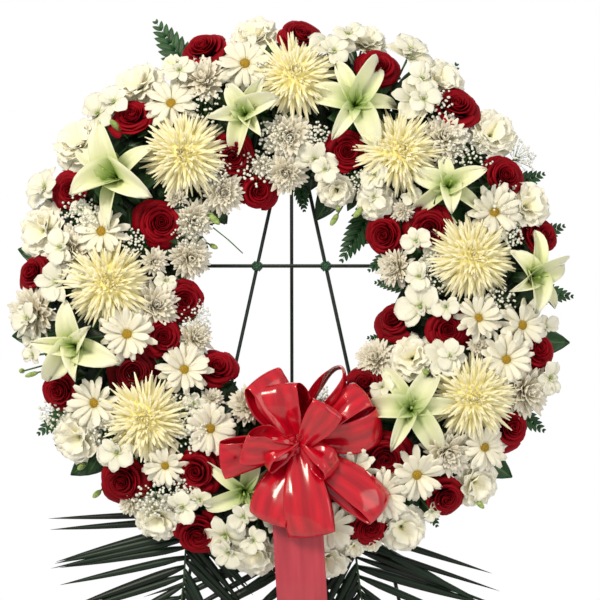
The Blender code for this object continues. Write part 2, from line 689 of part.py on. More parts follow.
def spray_mesh(head):
    """Spray of baby's breath: a fan of thin stems with a bud on each."""
    height = KINDS["spray"].height * head.radius
    foot = head.aim * (1 - CORE_STEM_END / head.aim.length)
    twigs = []
    for i in range(SPRAY_BUDS):
        angle = TWIG_TURN * i
        out = head.radius * math.sqrt((i + 0.5) / SPRAY_BUDS)
        tip = Vector((out * math.cos(angle), out * math.sin(angle), height * (1.0 - 0.12 * (i % 3))))
        length = (tip - foot).length
        bm = bmesh.new()
        rings = [three(TWIG, 0.0), three(TWIG, length - BUD), three(BUD, length - BUD / 2, math.pi / 3)]
        rows = bridge(bm, rings, closed_ends=False)
        bm.faces.new(rows[0][::-1])
        tip_vert = bm.verts.new((0, 0, length + BUD / 2))
        for k in range(3):
            bm.faces.new((rows[-1][k], rows[-1][(k + 1) % 3], tip_vert))
        spin = (tip - foot).to_track_quat("Z", "Y").to_matrix().to_4x4()
        bm.transform(head.matrix @ Matrix.Translation(foot) @ spin)
        twigs.append(add_object("twig", bm))
    return twigs


def leaf_outline(length, width, teeth, droop):
    """Outline of a leaf from its foot to its tip: plain, or cut into teeth."""
    points = [(0, -2 * MM, 0)]
    sides = []
    steps = teeth if teeth else 2
    for i in range(steps):
        share = (i + 0.75) / (steps + 0.4)
        half = width / 2 * math.sin(math.pi * min(1.0, share * 0.9 + 0.12)) ** 0.7
        fall = -droop * share * share
        if teeth:
            sides.append((half, length * (share + 0.08), fall))
            sides.append((half * 0.52, length * (share + 0.10), fall))
        else:
            sides.append((half, length * share, fall))
    points += sides
    points.append((0, length, -droop))
    points += [(-x, y, z) for x, y, z in reversed(sides)]
    return points


def collar_leaf(matrix, length, cut):
    """One leaf of a collar."""
    bm = bmesh.new()
    width = length * (0.62 if cut else 0.44)
    plate(bm, matrix, leaf_outline(length, width, 3 if cut else 0, 0.10 * length), LEAF_THICK, LEAF_CROWN)
    return add_object("leaf", bm)


def make_collars(parent, green):
    """Leaf collars round the tray, outside and inside, each a quarter of the way round."""
    half = FOAM_HALF + 4 * GAP + TRAY_WALL
    for place, radius, leaves, sign in (
        ("outer", RING_RADIUS + half, COLLAR_LEAVES_OUT, 1),
        ("inner", RING_RADIUS - half - COLLAR_STRIP, COLLAR_LEAVES_IN, -1),
    ):
        for quarter in range(4):
            low, high = 90 * quarter, 90 * (quarter + 1)
            mine = [leaf for leaf in leaves if low <= leaf[0] < high]
            angles = [degrees for degrees, _, _ in mine]
            first = max(low, COLLAR_STEP * math.floor((min(angles) - COLLAR_MARGIN) / COLLAR_STEP))
            last = min(high, COLLAR_STEP * math.ceil((max(angles) + COLLAR_MARGIN) / COLLAR_STEP))
            far = radius + COLLAR_STRIP
            profile = ((radius, COLLAR_LOW), (far, COLLAR_LOW), (far, COLLAR_HIGH), (radius, COLLAR_HIGH))
            steps = (last - first) // COLLAR_STEP
            bm = bmesh.new()
            turned(bm, profile, math.radians(first), math.radians(last - first), steps, math.radians(0.2))
            collar = add_object(f"leaf_collar_{place}_{quarter + 1}", bm, parent, green)
            blades = []
            for number, (degrees, length, cut) in enumerate(mine):
                angle = math.radians(degrees)
                edge = radius * math.cos(math.radians(COLLAR_STEP / 2)) + COLLAR_STRIP / 2
                level = COLLAR_LEAF_LEVEL + (number % 2) * COLLAR_LEAF_STEP
                foot = Vector((edge * math.cos(angle), edge * math.sin(angle), level))
                swing = math.radians(10 if number % 2 else -8)
                turn = Matrix.Rotation(angle - sign * math.pi / 2 + swing, 4, "Z")
                tilt = Matrix.Rotation(math.radians(-3 if sign > 0 else -2), 4, "X")
                blades.append(collar_leaf(Matrix.Translation(foot) @ turn @ tilt, length * MM, cut))
            combine(collar, blades, "UNION")


def palm_route(name):
    """Middle line of a frond: its stalk out of the foam, then its rib."""
    start, level, rib, _ = PALMS[name]
    angle = math.radians(start)
    radial = Vector((math.cos(angle), math.sin(angle), 0))
    stalk = [radial * distance + Vector((0, 0, high)) for distance, high in (PALM_IN, PALM_OUT)]
    return stalk, [Vector((x, y, level)) * MM for x, y in rib]


def make_palm(name, parent, green):
    """Palm frond: its stalk stands in the foam, and narrow leaflets run along both sides of its rib."""
    stalk, rib = palm_route(name)
    bm = bmesh.new()
    rod(bm, stalk + rib, radius=PALM_STALK, sides=4)
    frond = add_object(name, bm, parent, green)
    leaflets = []
    for side, (length, first, last) in zip((-1, 1), PALMS[name][3]):
        for i in range(LEAFLETS):
            share = (i + 0.35 + (0.3 if side > 0 else 0)) / (LEAFLETS - 0.2)
            where = share * (len(rib) - 1)
            k = min(int(where), len(rib) - 2)
            root = rib[k].lerp(rib[k + 1], where - k)
            along = rib[k + 1] - rib[k]
            heading = math.atan2(along.y, along.x) + side * math.radians(first + (last - first) * share)
            size = length * MM * (1.0 - 0.45 * share ** 2)
            shoulder = (size * 0.4, 1.5 * MM)
            outline = [(0, -4 * MM, 0), (LEAFLET_HALF, *shoulder),
                       (0, size, -1 * MM), (-LEAFLET_HALF, *shoulder)]
            shape = Matrix.Translation(root) @ Matrix.Rotation(heading - math.pi / 2, 4, "Z")
            shape = shape @ Matrix.Rotation(math.radians(-10 * side), 4, "Y")
            bm = bmesh.new()
            plate(bm, shape, outline, LEAF_THICK, 0.8 * MM)
            leaflets.append(add_object("leaflet", bm))
    combine(frond, leaflets, "UNION")


def ribbon_strip(path, widths, side):
    """Strip of ribbon along a path: its edges lie along side, and its thickness is across the path."""
    bm = bmesh.new()
    rings = []
    for i, point in enumerate(path):
        ahead = path[min(i + 1, len(path) - 1)] - path[max(i - 1, 0)]
        thick = ahead.cross(side).normalized() * RIBBON_THICK / 2
        half = side * widths[i] / 2
        rings.append([point - half - thick, point + half - thick, point + half + thick, point - half + thick])
    bridge(bm, rings)
    return add_object("strip", bm)


def make_bow(parent, satin):
    """Bow: loops of ribbon gathered at a knot, on a pick that stands in the foam."""
    bm = bmesh.new()
    bmesh.ops.create_uvsphere(bm, u_segments=8, v_segments=5, radius=KNOT)
    bm.transform(Matrix.Translation(BOW_CENTRE))
    bow = add_object("ribbon_bow", bm, parent, satin)
    strips = []
    for degrees, length, width, rise, root in BOW_LOOPS:
        angle = math.radians(degrees)
        out = Vector((math.cos(angle), math.sin(angle), 0))
        side = Vector((-math.sin(angle), math.cos(angle), 0))
        path, widths = [], []
        for reach, level, spread in LOOP_SECTION:
            path.append(BOW_CENTRE + out * (reach * length * MM) + Vector((0, 0, (level * rise + root) * MM)))
            widths.append(width * spread * MM)
        strips.append(ribbon_strip(path, widths, side))
    bm = bmesh.new()
    bridge(bm, [[end + Vector(point) for point in three(PICK, 0.0)] for end in (PICK_FOOT, PICK_TOP)])
    strips.append(add_object("pick", bm))
    return combine(bow, strips, "UNION")


def tail_path():
    """Middle line of the ribbon's tail, which hangs straight down from the knot."""
    down = Vector((0, -math.cos(LEAN), -math.sin(LEAN)))
    path = [TAIL_START, TAIL_SHOULDER]
    for i in range(TAIL_STEPS + 1):
        share = i / TAIL_STEPS
        place = TAIL_SHOULDER + down * (TAIL_LENGTH * share)
        swing = TAIL_SWING * math.sin(2 * math.pi * TAIL_WAVES * share)
        place += Vector((TAIL_DRIFT.x * share, TAIL_DRIFT.y, swing))
        path.append(place)
    return path


def make_tail(parent, satin):
    """Tail of the ribbon, cut to a swallow's tail at its end."""
    path = tail_path()
    widths = [34 * MM, 56 * MM] + [RIBBON] * (len(path) - 2)
    tail = ribbon_strip(path, widths, Vector((1, 0, 0)))
    tail.name = "ribbon_tail"
    tail.parent = parent
    tail.data.materials.append(satin)
    end = path[-1]
    bm = bmesh.new()
    triangle = ((-RIBBON / 2 - 1 * MM, -2 * MM), (RIBBON / 2 + 1 * MM, -2 * MM), (0, TAIL_NOTCH))
    rings = [[(end.x + x, end.y + y, end.z + z) for x, y in triangle] for z in (-20 * MM, 20 * MM)]
    bridge(bm, rings)
    return combine(tail, [add_object("notch", bm)], "DIFFERENCE", "EXACT")


def stalk_in_foam(sector, radius, low):
    """Upright stalk, or the hole for it, that joins a sector's core to the foam."""
    middle = SECTOR_TURN + (sector + 0.5) * 2 * math.pi / SECTORS
    anchor = Vector((RING_RADIUS * math.cos(middle), RING_RADIUS * math.sin(middle), 0))
    bm = bmesh.new()
    levels = (low, BED_STALK_HIGH)
    bridge(bm, [[anchor + Vector(point) for point in three(radius, level)] for level in levels])
    return add_object("stalk", bm)


def sector_of(head):
    """Which sector of the bed a head is rooted in."""
    place = head.matrix.translation
    angle = (math.atan2(place.y, place.x) - SECTOR_TURN) % (2 * math.pi)
    return int(angle / (2 * math.pi / SECTORS))


def core_object(sector, grow=0.0):
    """The bed's core in one sector."""
    sweep = 2 * math.pi / SECTORS
    bm = bmesh.new()
    steps = SEGMENTS // SECTORS
    trim = CORE_TRIM - grow / RING_RADIUS
    turned(bm, core_profile(grow), SECTOR_TURN + sector * sweep, sweep, steps, trim)
    return add_object("core", bm)


def box_cutter(low, high):
    """Box between two corners."""
    bm = bmesh.new()
    bmesh.ops.create_cube(bm, size=1.0)
    low, high = Vector(low), Vector(high)
    bmesh.ops.scale(bm, vec=high - low, verts=bm.verts)
    bmesh.ops.translate(bm, vec=(low + high) / 2, verts=bm.verts)
    return add_object("box", bm)


def hull_cutter(thing, slack):
    """Convex solid just larger than a finished object, which cuts what lies under it."""
    bm = bmesh.new()
    for vert in thing.data.vertices:
        bm.verts.new(vert.co)
    make_hull(bm)
    middle = sum((v.co for v in bm.verts), Vector()) / len(bm.verts)
    size = max((v.co - middle).length for v in bm.verts)
    bmesh.ops.scale(bm, vec=[1 + slack / size] * 3, space=Matrix.Translation(-middle), verts=bm.verts)
    return add_object("hull", bm)


def rod_cutter(points, radius):
    """Clearance round a rod."""
    bm = bmesh.new()
    rod(bm, points, radius=radius, sides=6)
    return add_object("rod_clearance", bm)


def make_roses(parent, red, roses):
    """Roses, each one head on its stem."""
    for number, head in enumerate(roses):
        rose = head_mesh(head, STEM_END)
        rose.name = f"rose_{number + 1:02d}"
        rose.parent = parent
        rose.data.materials.append(red)


def make_whites(parent, cream, roses, whites, ribbons):
    """White flowers of each sector, rooted in the sector's bed and cut clear of the roses and the bow."""
    sectors = [[] for _ in range(SECTORS)]
    for head in whites:
        sectors[sector_of(head)].append(head)
    for index, heads in enumerate(sectors):
        node = core_object(index)
        node.name = f"white_flowers_{index + 1}"
        node.parent = parent
        node.data.materials.append(cream)
        pieces = []
        for head in heads:
            pieces += spray_mesh(head) if head.kind == "spray" else [head_mesh(head, CORE_STEM_END)]
        pieces.append(stalk_in_foam(index, BED_STALK, BED_STALK_LOW))
        combine(node, pieces, "UNION")
        cutters = [box_cutter([-EVERYTHING] * 3, (EVERYTHING, EVERYTHING, PETALS_LOWEST))]
        for rose in roses:
            if any(near(rose, head) for head in heads) or sector_of(rose) == index:
                cutters += envelope(rose, STEM_END)
        for other in range(SECTORS):
            beside = (other - index) % SECTORS in (1, SECTORS - 1)
            if beside:
                cutters.append(core_object(other, 0.4 * MM))
            if beside and other < index:
                for head in sectors[other]:
                    if any(near(head, mine) for mine in heads):
                        cutters += envelope(head, CORE_STEM_END)
        for name in PALMS:
            stalk, rib = palm_route(name)
            cutters.append(rod_cutter(stalk + rib[:3], PALM_STALK + 0.4 * MM))
        cutters += [hull_cutter(ribbon, 1 * MM) for ribbon in ribbons]
        combine(node, cutters, "DIFFERENCE")


def make_foam(parent, foam, roses):
    """Foam ring with a plain hole for each stem, peg, prong and stalk."""
    bm = bmesh.new()
    turned(bm, foam_profile(), SECTOR_TURN)
    made = add_object("foam_ring", bm, parent, foam)
    cutters = [stem_clearance(rose, STEM_END) for rose in roses]
    cutters += [stalk_in_foam(index, BED_STALK + 4 * GAP, BED_STALK_LOW - 1 * MM) for index in range(SECTORS)]
    cutters += [prong_hole(side, 0.0, PRONG_DEPTH + GAP) for side in (-1, 1)]
    for name in PALMS:
        (low, high), _ = palm_route(name)
        cutters.append(rod_cutter([low + (low - high).normalized() * 2 * GAP, high], PALM_STALK + 2 * GAP))
    cutters.append(rod_cutter([PICK_FOOT - Vector((0, 0, 0.5 * MM)), PICK_TOP], PICK + 3 * GAP))
    combine(made, cutters, "DIFFERENCE")


def main():
    """Builds the object."""
    for old in list(bpy.data.objects):
        bpy.data.objects.remove(old)
    paint = material("green_wire_paint", (0.010, 0.035, 0.022), 0.35)
    plastic = material("green_tray_plastic", (0.02, 0.06, 0.03), 0.5)
    foam = material("floral_foam", (0.03, 0.09, 0.04), 0.95)
    green = material("leaf_green", (0.02, 0.075, 0.02), 0.5)
    red = material("rose_red", (0.36, 0.006, 0.02), 0.6)
    cream = material("petal_cream", (0.86, 0.84, 0.72), 0.6)
    satin = material("ribbon_satin", (0.75, 0.03, 0.07), 0.25)

    frame = wreath_matrix()
    wreath = bpy.data.objects.new("wreath", None)
    bpy.context.scene.collection.objects.link(wreath)

    make_front_frame(frame, wreath, paint)
    make_rear_leg(frame, wreath, paint)
    make_crossbar(wreath, paint)
    make_tie(-1, wreath, paint)
    make_tie(1, wreath, paint)
    make_tray(wreath, plastic)
    bow = make_bow(wreath, satin)
    tail = make_tail(wreath, satin)
    heads = settled_heads()
    roses = [head for head in heads if head.kind == "rose"]
    make_roses(wreath, red, roses)
    make_whites(wreath, cream, roses, [head for head in heads if head.kind != "rose"], (bow, tail))
    make_foam(wreath, foam, roses)
    make_collars(wreath, green)
    for name in PALMS:
        make_palm(name, wreath, green)

    wreath.matrix_world = frame
    bpy.context.view_layer.update()


main()
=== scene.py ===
"""Dresses the funeral wreath and its easel: petals, leaves, ribbon, paint, camera and light.

Metres, +Z up. The wreath faces -Y. Flowers are laid out in the wreath's own frame: x across, y up
the lean of the easel and z out towards the viewer, from the ring's centre on the ring's back.
"""

import logging
import random
from collections.abc import Callable, Iterable
from dataclasses import dataclass, field
from enum import Enum
from math import asin, atan2, cos, hypot, pi, radians, sin, sqrt, tau

import bmesh
import bpy
from mathutils import Matrix, Vector


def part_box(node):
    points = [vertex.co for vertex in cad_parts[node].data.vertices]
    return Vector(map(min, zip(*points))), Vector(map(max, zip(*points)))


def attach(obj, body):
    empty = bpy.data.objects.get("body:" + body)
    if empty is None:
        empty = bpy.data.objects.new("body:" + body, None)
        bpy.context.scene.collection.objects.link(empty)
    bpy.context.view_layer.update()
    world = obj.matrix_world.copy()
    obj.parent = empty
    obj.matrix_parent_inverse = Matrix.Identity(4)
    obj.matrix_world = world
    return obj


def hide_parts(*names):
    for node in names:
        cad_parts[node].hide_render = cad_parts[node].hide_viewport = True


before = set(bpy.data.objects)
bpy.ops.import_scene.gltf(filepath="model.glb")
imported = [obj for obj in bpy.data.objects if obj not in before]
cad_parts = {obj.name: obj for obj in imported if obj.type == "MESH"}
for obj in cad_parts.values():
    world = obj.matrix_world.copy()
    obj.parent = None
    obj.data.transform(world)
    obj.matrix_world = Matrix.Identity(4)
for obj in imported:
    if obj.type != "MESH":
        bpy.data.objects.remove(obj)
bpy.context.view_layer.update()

log = logging.getLogger("wreath")

MM = 0.001
GOLDEN = radians(137.508)  # turn from one petal to the next as flowers grow
STAND = "stand_with_wreath"
LEAN = radians(10)
RING_CENTRE = Vector((0.0, -0.0806, 1.070))
WREATH = Matrix.Translation(RING_CENTRE) @ Matrix.Rotation(pi / 2 - LEAN, 4, "X")

Shape = Callable[[float, float], Vector]


def turned(angle: float, axis: str = "Z") -> Matrix:
    """Turn about an axis."""
    return Matrix.Rotation(angle, 4, axis)


def moved(x: float, y: float, z: float) -> Matrix:
    """Move from the origin."""
    return Matrix.Translation((x, y, z))


def stretched(x: float, y: float, z: float) -> Matrix:
    """Stretch along the three axes."""
    return Matrix.Diagonal((x, y, z, 1))


def linear(colour: str) -> tuple[float, float, float, float]:
    """Turns an sRGB hex colour to linear.

    Args:
        colour: six hex digits, such as "8A1020".

    Returns:
        The linear colour with an alpha of 1.
    """
    parts = [int(colour[i:i + 2], 16) / 255 for i in (0, 2, 4)]
    return (*(p / 12.92 if p <= 0.04045 else ((p + 0.055) / 1.055) ** 2.4 for p in parts), 1.0)


def add_node(tree: bpy.types.NodeTree, kind: str, inputs: dict | None = None,
             stops: Iterable[tuple[float, str]] = (), **settings) -> bpy.types.Node:
    """Adds a node with its settings, values and links.

    Args:
        tree: node tree of the material.
        kind: type name of the node.
        inputs: socket name or number to a value or to another node's output.
        stops: place and hex colour of each stop of a colour ramp.
        **settings: properties of the node.

    Returns:
        The new node.
    """
    made = tree.nodes.new(kind)
    for name, value in settings.items():
        setattr(made, name, value)
    for key, value in (inputs or {}).items():
        if isinstance(value, bpy.types.NodeSocket):
            tree.links.new(value, made.inputs[key])
        else:
            made.inputs[key].default_value = value
    for index, (place, colour) in enumerate(stops):
        marks = made.color_ramp.elements
        mark = marks[index] if index < 2 else marks.new(place)
        mark.position = place
        mark.color = linear(colour)
    return made


def start_material(name: str, **values) -> tuple[bpy.types.Material, bpy.types.NodeTree, bpy.types.Node]:
    """Starts a Principled material with constant values on its sockets.

    Args:
        name: name of the material.
        **values: socket names with underscores, and their values.

    Returns:
        The material, its node tree and its shader.
    """
    made = bpy.data.materials.new(name)
    made.use_nodes = True
    shader = made.node_tree.nodes["Principled BSDF"]
    for socket, value in values.items():
        shader.inputs[socket.replace("_", " ").title().replace("Ior", "IOR")].default_value = value
    return made, made.node_tree, shader


@dataclass(frozen=True)
class PetalFinish:
    """A living petal: matt cells over watery flesh, veined along its length.

    Colours run from root to tip along the petal's own UV; the darker root of the roses and cushion mums
    is painted shade deep in the flower. Each petal has a tone, partly its own at random and, on some
    flowers, painted shade that darkens the inner petals.
    """

    name: str
    root: str
    body: str
    tip: str
    turn: float = 0.35  # where the root's colour has gone, as a share of the length
    roughness: float = 0.55
    veins: float = 9.0  # vein pairs across a petal; about 1.5 mm apart, coarser than real so that they show
    relief: float = 0.25
    least: float = 0.80  # brightness of the darkest petal
    most: float = 1.04
    glow: float = 0.12  # how much light passes through the petal
    glow_mm: float = 2.0  # how far it spreads
    shine: float = 0.3  # matt cells give petals less than the usual 0.5

    def build(self) -> bpy.types.Material:
        """Makes the material.

        Returns:
            The material.
        """
        made, tree, shader = start_material(
            self.name, roughness=self.roughness, specular_ior_level=self.shine, subsurface_weight=self.glow,
            subsurface_scale=self.glow_mm * MM, subsurface_radius=(1.0, 0.9, 0.65))
        uv = add_node(tree, "ShaderNodeUVMap", uv_map="UVMap")
        split = add_node(tree, "ShaderNodeSeparateXYZ", {0: uv.outputs[0]})
        colours = add_node(tree, "ShaderNodeValToRGB", {"Fac": split.outputs["Y"]},
                           ((0.0, self.root), (self.turn, self.body), (1.0, self.tip)))
        tone = add_node(tree, "ShaderNodeAttribute", attribute_name="tone")
        value = add_node(tree, "ShaderNodeMapRange", {"Value": tone.outputs["Fac"], "To Min": self.least,
                                                      "To Max": self.most})
        shaded = add_node(tree, "ShaderNodeHueSaturation", {"Value": value.outputs[0],
                                                            "Color": colours.outputs[0]})
        tree.links.new(shaded.outputs[0], shader.inputs["Base Color"])
        wave = add_node(tree, "ShaderNodeTexWave", {"Vector": uv.outputs[0], "Scale": self.veins / 3.1,
                                                    "Distortion": 1.2, "Detail": 1.0}, bands_direction="X")
        bump = add_node(tree, "ShaderNodeBump", {"Height": wave.outputs["Fac"], "Strength": self.relief,
                                                 "Distance": 0.4 * MM})
        tree.links.new(bump.outputs[0], shader.inputs["Normal"])
        return made


@dataclass(frozen=True)
class LeafFinish:
    """A waxy leaf: a pale midrib on darker green, with side veins raised between them."""

    name: str
    body: str
    dark: str
    rib: str
    roughness: float = 0.38
    ribs: float = 14.0  # side veins along a leaf, about 4 mm apart
    parallel: bool = False  # veins run along the leaf, as a palm's do

    def build(self) -> bpy.types.Material:
        """Makes the material.

        Returns:
            The material.
        """
        made, tree, shader = start_material(self.name, roughness=self.roughness, specular_ior_level=0.3,
                                            coat_weight=0.06, coat_roughness=0.3)
        uv = add_node(tree, "ShaderNodeUVMap", uv_map="UVMap")
        split = add_node(tree, "ShaderNodeSeparateXYZ", {0: uv.outputs[0]})
        side = add_node(tree, "ShaderNodeMath", {0: split.outputs["X"], 1: 0.5}, operation="SUBTRACT")
        away = add_node(tree, "ShaderNodeMath", {0: side.outputs[0]}, operation="ABSOLUTE")
        tone = add_node(tree, "ShaderNodeAttribute", attribute_name="tone")
        green = add_node(tree, "ShaderNodeValToRGB", {"Fac": tone.outputs["Fac"]},
                         ((0.0, self.dark), (1.0, self.body)))
        near = add_node(tree, "ShaderNodeMapRange", {"Value": away.outputs[0], "From Min": 0.02,
                                                     "From Max": 0.07, "To Min": 0.8, "To Max": 0.0})
        mixed = add_node(tree, "ShaderNodeMix", {"Factor": near.outputs[0], "A": green.outputs[0],
                                                 "B": linear(self.rib)}, data_type="RGBA")
        tree.links.new(mixed.outputs["Result"], shader.inputs["Base Color"])
        wave = add_node(tree, "ShaderNodeTexWave", {"Vector": uv.outputs[0], "Scale": self.ribs / 3.1,
                                                    "Distortion": 0.4},
                        bands_direction="X" if self.parallel else "DIAGONAL")
        bump = add_node(tree, "ShaderNodeBump", {"Height": wave.outputs["Fac"], "Strength": 0.3,
                                                 "Distance": 0.5 * MM})
        tree.links.new(bump.outputs[0], shader.inputs["Normal"])
        return made


@dataclass(frozen=True)
class GrainFinish:
    """A solid thing with a fine grain on Object coordinates, such as buds, paint or foam."""

    name: str
    dark: str
    light: str
    grain_mm: float
    roughness: float = 0.5
    relief: float = 0.3
    depth_mm: float = 0.3
    coat: float = 0.0

    def build(self) -> bpy.types.Material:
        """Makes the material.

        Returns:
            The material.
        """
        made, tree, shader = start_material(self.name, roughness=self.roughness, coat_weight=self.coat,
                                            coat_roughness=0.15)
        place = add_node(tree, "ShaderNodeTexCoord")
        grain = add_node(tree, "ShaderNodeTexNoise", {"Vector": place.outputs["Object"],
                                                      "Scale": 1 / (self.grain_mm * MM), "Detail": 3.0})
        colours = add_node(tree, "ShaderNodeValToRGB", {"Fac": grain.outputs["Fac"]},
                           ((0.3, self.dark), (0.7, self.light)))
        tree.links.new(colours.outputs[0], shader.inputs["Base Color"])
        bump = add_node(tree, "ShaderNodeBump", {"Height": grain.outputs["Fac"], "Strength": self.relief,
                                                 "Distance": self.depth_mm * MM})
        tree.links.new(bump.outputs[0], shader.inputs["Normal"])
        return made


@dataclass(frozen=True)
class SatinFinish:
    """Acetate florist's ribbon: stiff and shiny, with fine ribs across it and painted sheen clouding its red.
    """

    name: str
    # body and deep: the brighter and darker red of the painted sheen and shade that cloud its colour
    body: str
    deep: str
    rib_mm: float = 1.1  # real ribs are 0.3 mm apart, too fine to show, so these are coarser
    length_mm: float = 300.0
    roughness: float = 0.2

    def build(self) -> bpy.types.Material:
        """Makes the material.

        Returns:
            The material.
        """
        made, tree, shader = start_material(self.name, roughness=self.roughness, specular_ior_level=0.5,
                                            coat_weight=0.5, coat_roughness=self.roughness / 2)
        uv = add_node(tree, "ShaderNodeUVMap", uv_map="UVMap")
        # painted sheen and shade: a noise cloud between the darker and the brighter red in the base colour
        # stands for the satin's uneven shine
        cloud = add_node(tree, "ShaderNodeTexNoise", {"Vector": uv.outputs[0], "Scale": 5.0, "Detail": 2.0})
        colours = add_node(tree, "ShaderNodeValToRGB", {"Fac": cloud.outputs["Fac"]},
                           ((0.35, self.deep), (0.65, self.body)))
        tree.links.new(colours.outputs[0], shader.inputs["Base Color"])
        scale = self.length_mm / self.rib_mm / 6.3
        ribs = add_node(tree, "ShaderNodeTexWave", {"Vector": uv.outputs[0], "Scale": scale},
                        bands_direction="Y")
        bump = add_node(tree, "ShaderNodeBump", {"Height": ribs.outputs["Fac"], "Strength": 0.05,
                                                 "Distance": 0.1 * MM})
        tree.links.new(bump.outputs[0], shader.inputs["Normal"])
        return made


@dataclass(frozen=True)
class Blade:
    """A petal or leaf that leaves its root along +Y, bends up or down, widens and cups."""

    length: float
    width: float
    rise: float = 0.0  # angle above the root's plane
    bend: float = 0.0  # how far that angle turns by the tip
    cup: float = 0.3  # how far its edges stand up, as a share of its half width
    widest: float = 0.6
    root: float = 0.2
    taper: float = 0.5  # 0.5 rounds the tip and 1 sharpens it
    ruffle: float = 0.0
    waves: float = 3.0
    phase: float = 0.0
    teeth: float = 0.0
    twist: float = 0.0
    groove: float = 0.0  # depth of the midrib, as a share of its half width

    def point(self, u: float, v: float) -> Vector:
        """Place of one point of the blade.

        Args:
            u: from -1 to 1 across it.
            v: from 0 at its root to 1 at its tip.

        Returns:
            The point, in the root's frame.
        """
        v *= 1 - self.teeth * abs(sin(2.5 * self.waves * pi * u + self.phase)) * v
        turn = self.rise + self.bend * v
        if abs(self.bend) > 1e-3:
            out = self.length * (sin(turn) - sin(self.rise)) / self.bend
            up = self.length * (cos(self.rise) - cos(turn)) / self.bend
        else:
            out, up = self.length * v * cos(turn), self.length * v * sin(turn)
        if v < self.widest:
            wide = self.root + (1 - self.root) * sin(pi / 2 * v / self.widest)
        else:
            past = (v - self.widest) / (1 - self.widest)
            wide = max(0.03, 1 - past ** 2) ** self.taper
        half = self.width / 2 * wide
        lift = half * (self.cup * u * u + self.groove * min(1.0, 3 * abs(u)))
        lift += self.ruffle * v * v * sin(self.waves * pi * u + self.phase)
        across, lift = u * half, lift + u * half * sin(self.twist * v)
        return Vector((across, out - sin(turn) * lift, up + cos(turn) * lift))


class Bunch:
    """One piece in the making: petals and leaves as thin sheets, stalks and buds as solids."""

    def __init__(self, name: str, finishes: list[bpy.types.Material], thickness: float = 0.35 * MM) -> None:
        """Starts an empty piece.

        Args:
            name: name of the piece.
            finishes: its materials, which faces name by their number.
            thickness: thickness of its sheets.
        """
        self.name, self.finishes, self.thickness = name, finishes, thickness
        self.sheets, self.solids = bmesh.new(), bmesh.new()
        for bm in (self.sheets, self.solids):
            bm.loops.layers.uv.new("UVMap")
            bm.verts.layers.float.new("tone")
        self.area = 0.0

    @staticmethod
    def _dress(bm: bmesh.types.BMesh, verts: list[bmesh.types.BMVert], finish: int, tone: float) -> None:
        """Gives new vertices their tone and their faces their finish.

        Args:
            bm: mesh in the making.
            verts: its new vertices.
            finish: number of its material.
            tone: its brightness from 0 to 1, its own tone and, on some flowers, painted shade on inner
                petals.
        """
        layer = bm.verts.layers.float["tone"]
        for vert in verts:
            vert[layer] = tone
            for face in vert.link_faces:
                face.material_index = finish
                face.smooth = True

    def sheet(self, place: Matrix, across: int, along: int, shape: Shape, finish: int = 0,
              tone: float = 0.5) -> None:
        """Adds a petal or leaf as a grid that its shape bends.

        Args:
            place: matrix of its root.
            across: faces across it.
            along: faces along it.
            shape: gives the place of a point across (-1 to 1) and along (0 to 1).
            finish: number of its material.
            tone: its brightness from 0 to 1, its own tone and, on some flowers, painted shade on inner
                petals.
        """
        made = bmesh.ops.create_grid(self.sheets, x_segments=across, y_segments=along, size=0.5,
                                     calc_uvs=True)
        for vert in made["verts"]:
            vert.co = place @ shape(2 * vert.co.x, vert.co.y + 0.5)
        self._dress(self.sheets, made["verts"], finish, tone)

    def stalk(self, start: Vector, end: Vector, low: float, high: float, finish: int, sides: int = 5,
              tone: float = 0.5) -> None:
        """Adds a straight stalk.

        Args:
            start: its lower end.
            end: its upper end.
            low: radius there.
            high: radius at the upper end.
            finish: number of its material.
            sides: faces round it.
            tone: its own brightness.
        """
        spin = (end - start).to_track_quat("Z", "Y").to_matrix().to_4x4()
        made = bmesh.ops.create_cone(self.solids, cap_ends=True, segments=sides, radius1=low, radius2=high,
                                     depth=(end - start).length,
                                     matrix=Matrix.Translation((start + end) / 2) @ spin)
        self._dress(self.solids, made["verts"], finish, tone)

    def ball(self, place: Matrix, finish: int, detail: int = 1, tone: float = 0.5) -> None:
        """Adds a bud or button as a ball of unit radius that the matrix places and stretches."""
        made = bmesh.ops.create_icosphere(self.solids, subdivisions=detail, radius=1.0, matrix=place)
        self._dress(self.solids, made["verts"], finish, tone)

    def make(self, nodes: Iterable[str] = (), body: str = STAND) -> bpy.types.Object:
        """Joins the sheets, given their thickness, with the solids into one object on its body.

        Args:
            nodes: CAD nodes that it stands for.
            body: CAD body that it rides on.

        Returns:
            The object.
        """
        self.sheets.normal_update()
        self.area = sum(face.calc_area() for face in self.sheets.faces)
        if self.sheets.faces:
            bmesh.ops.solidify(self.sheets, geom=self.sheets.faces[:], thickness=self.thickness)
        mesh = bpy.data.meshes.new(self.name)
        self.sheets.to_mesh(mesh)
        self.solids.from_mesh(mesh)
        self.solids.normal_update()
        self.solids.to_mesh(mesh)
        self.sheets.free()
        self.solids.free()
        for finish in self.finishes:
            mesh.materials.append(finish)
        made = bpy.data.objects.new(self.name, mesh)
        bpy.context.scene.collection.objects.link(made)
        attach(made, body)
        if nodes:
            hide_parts(*nodes)
        return made


class Kind(Enum):
    """Kinds of flower: height as a share of the radius, and how deep the head sinks into the bed."""

    ROSE = (1.25, 0.55)
    FUJI = (0.62, 0.40)
    LILY = (0.95, 0.45)
    DAISY = (0.50, 0.60)
    MUM = (1.10, 0.60)
    ORCHID = (0.62, 0.60)
    SPRAY = (0.80, 0.40)
    CARNATION = (1.10, 0.601)  # not quite the cushion mum's depth, because equal values would be one kind


@dataclass
class Head:
    """A flower's head: its kind, radius, place on the bed and number."""

    kind: Kind
    radius: float
    matrix: Matrix
    aim: Vector
    number: int

    @property
    def height(self) -> float:
        """Height of the head above its foot."""
        return self.kind.value[0] * self.radius


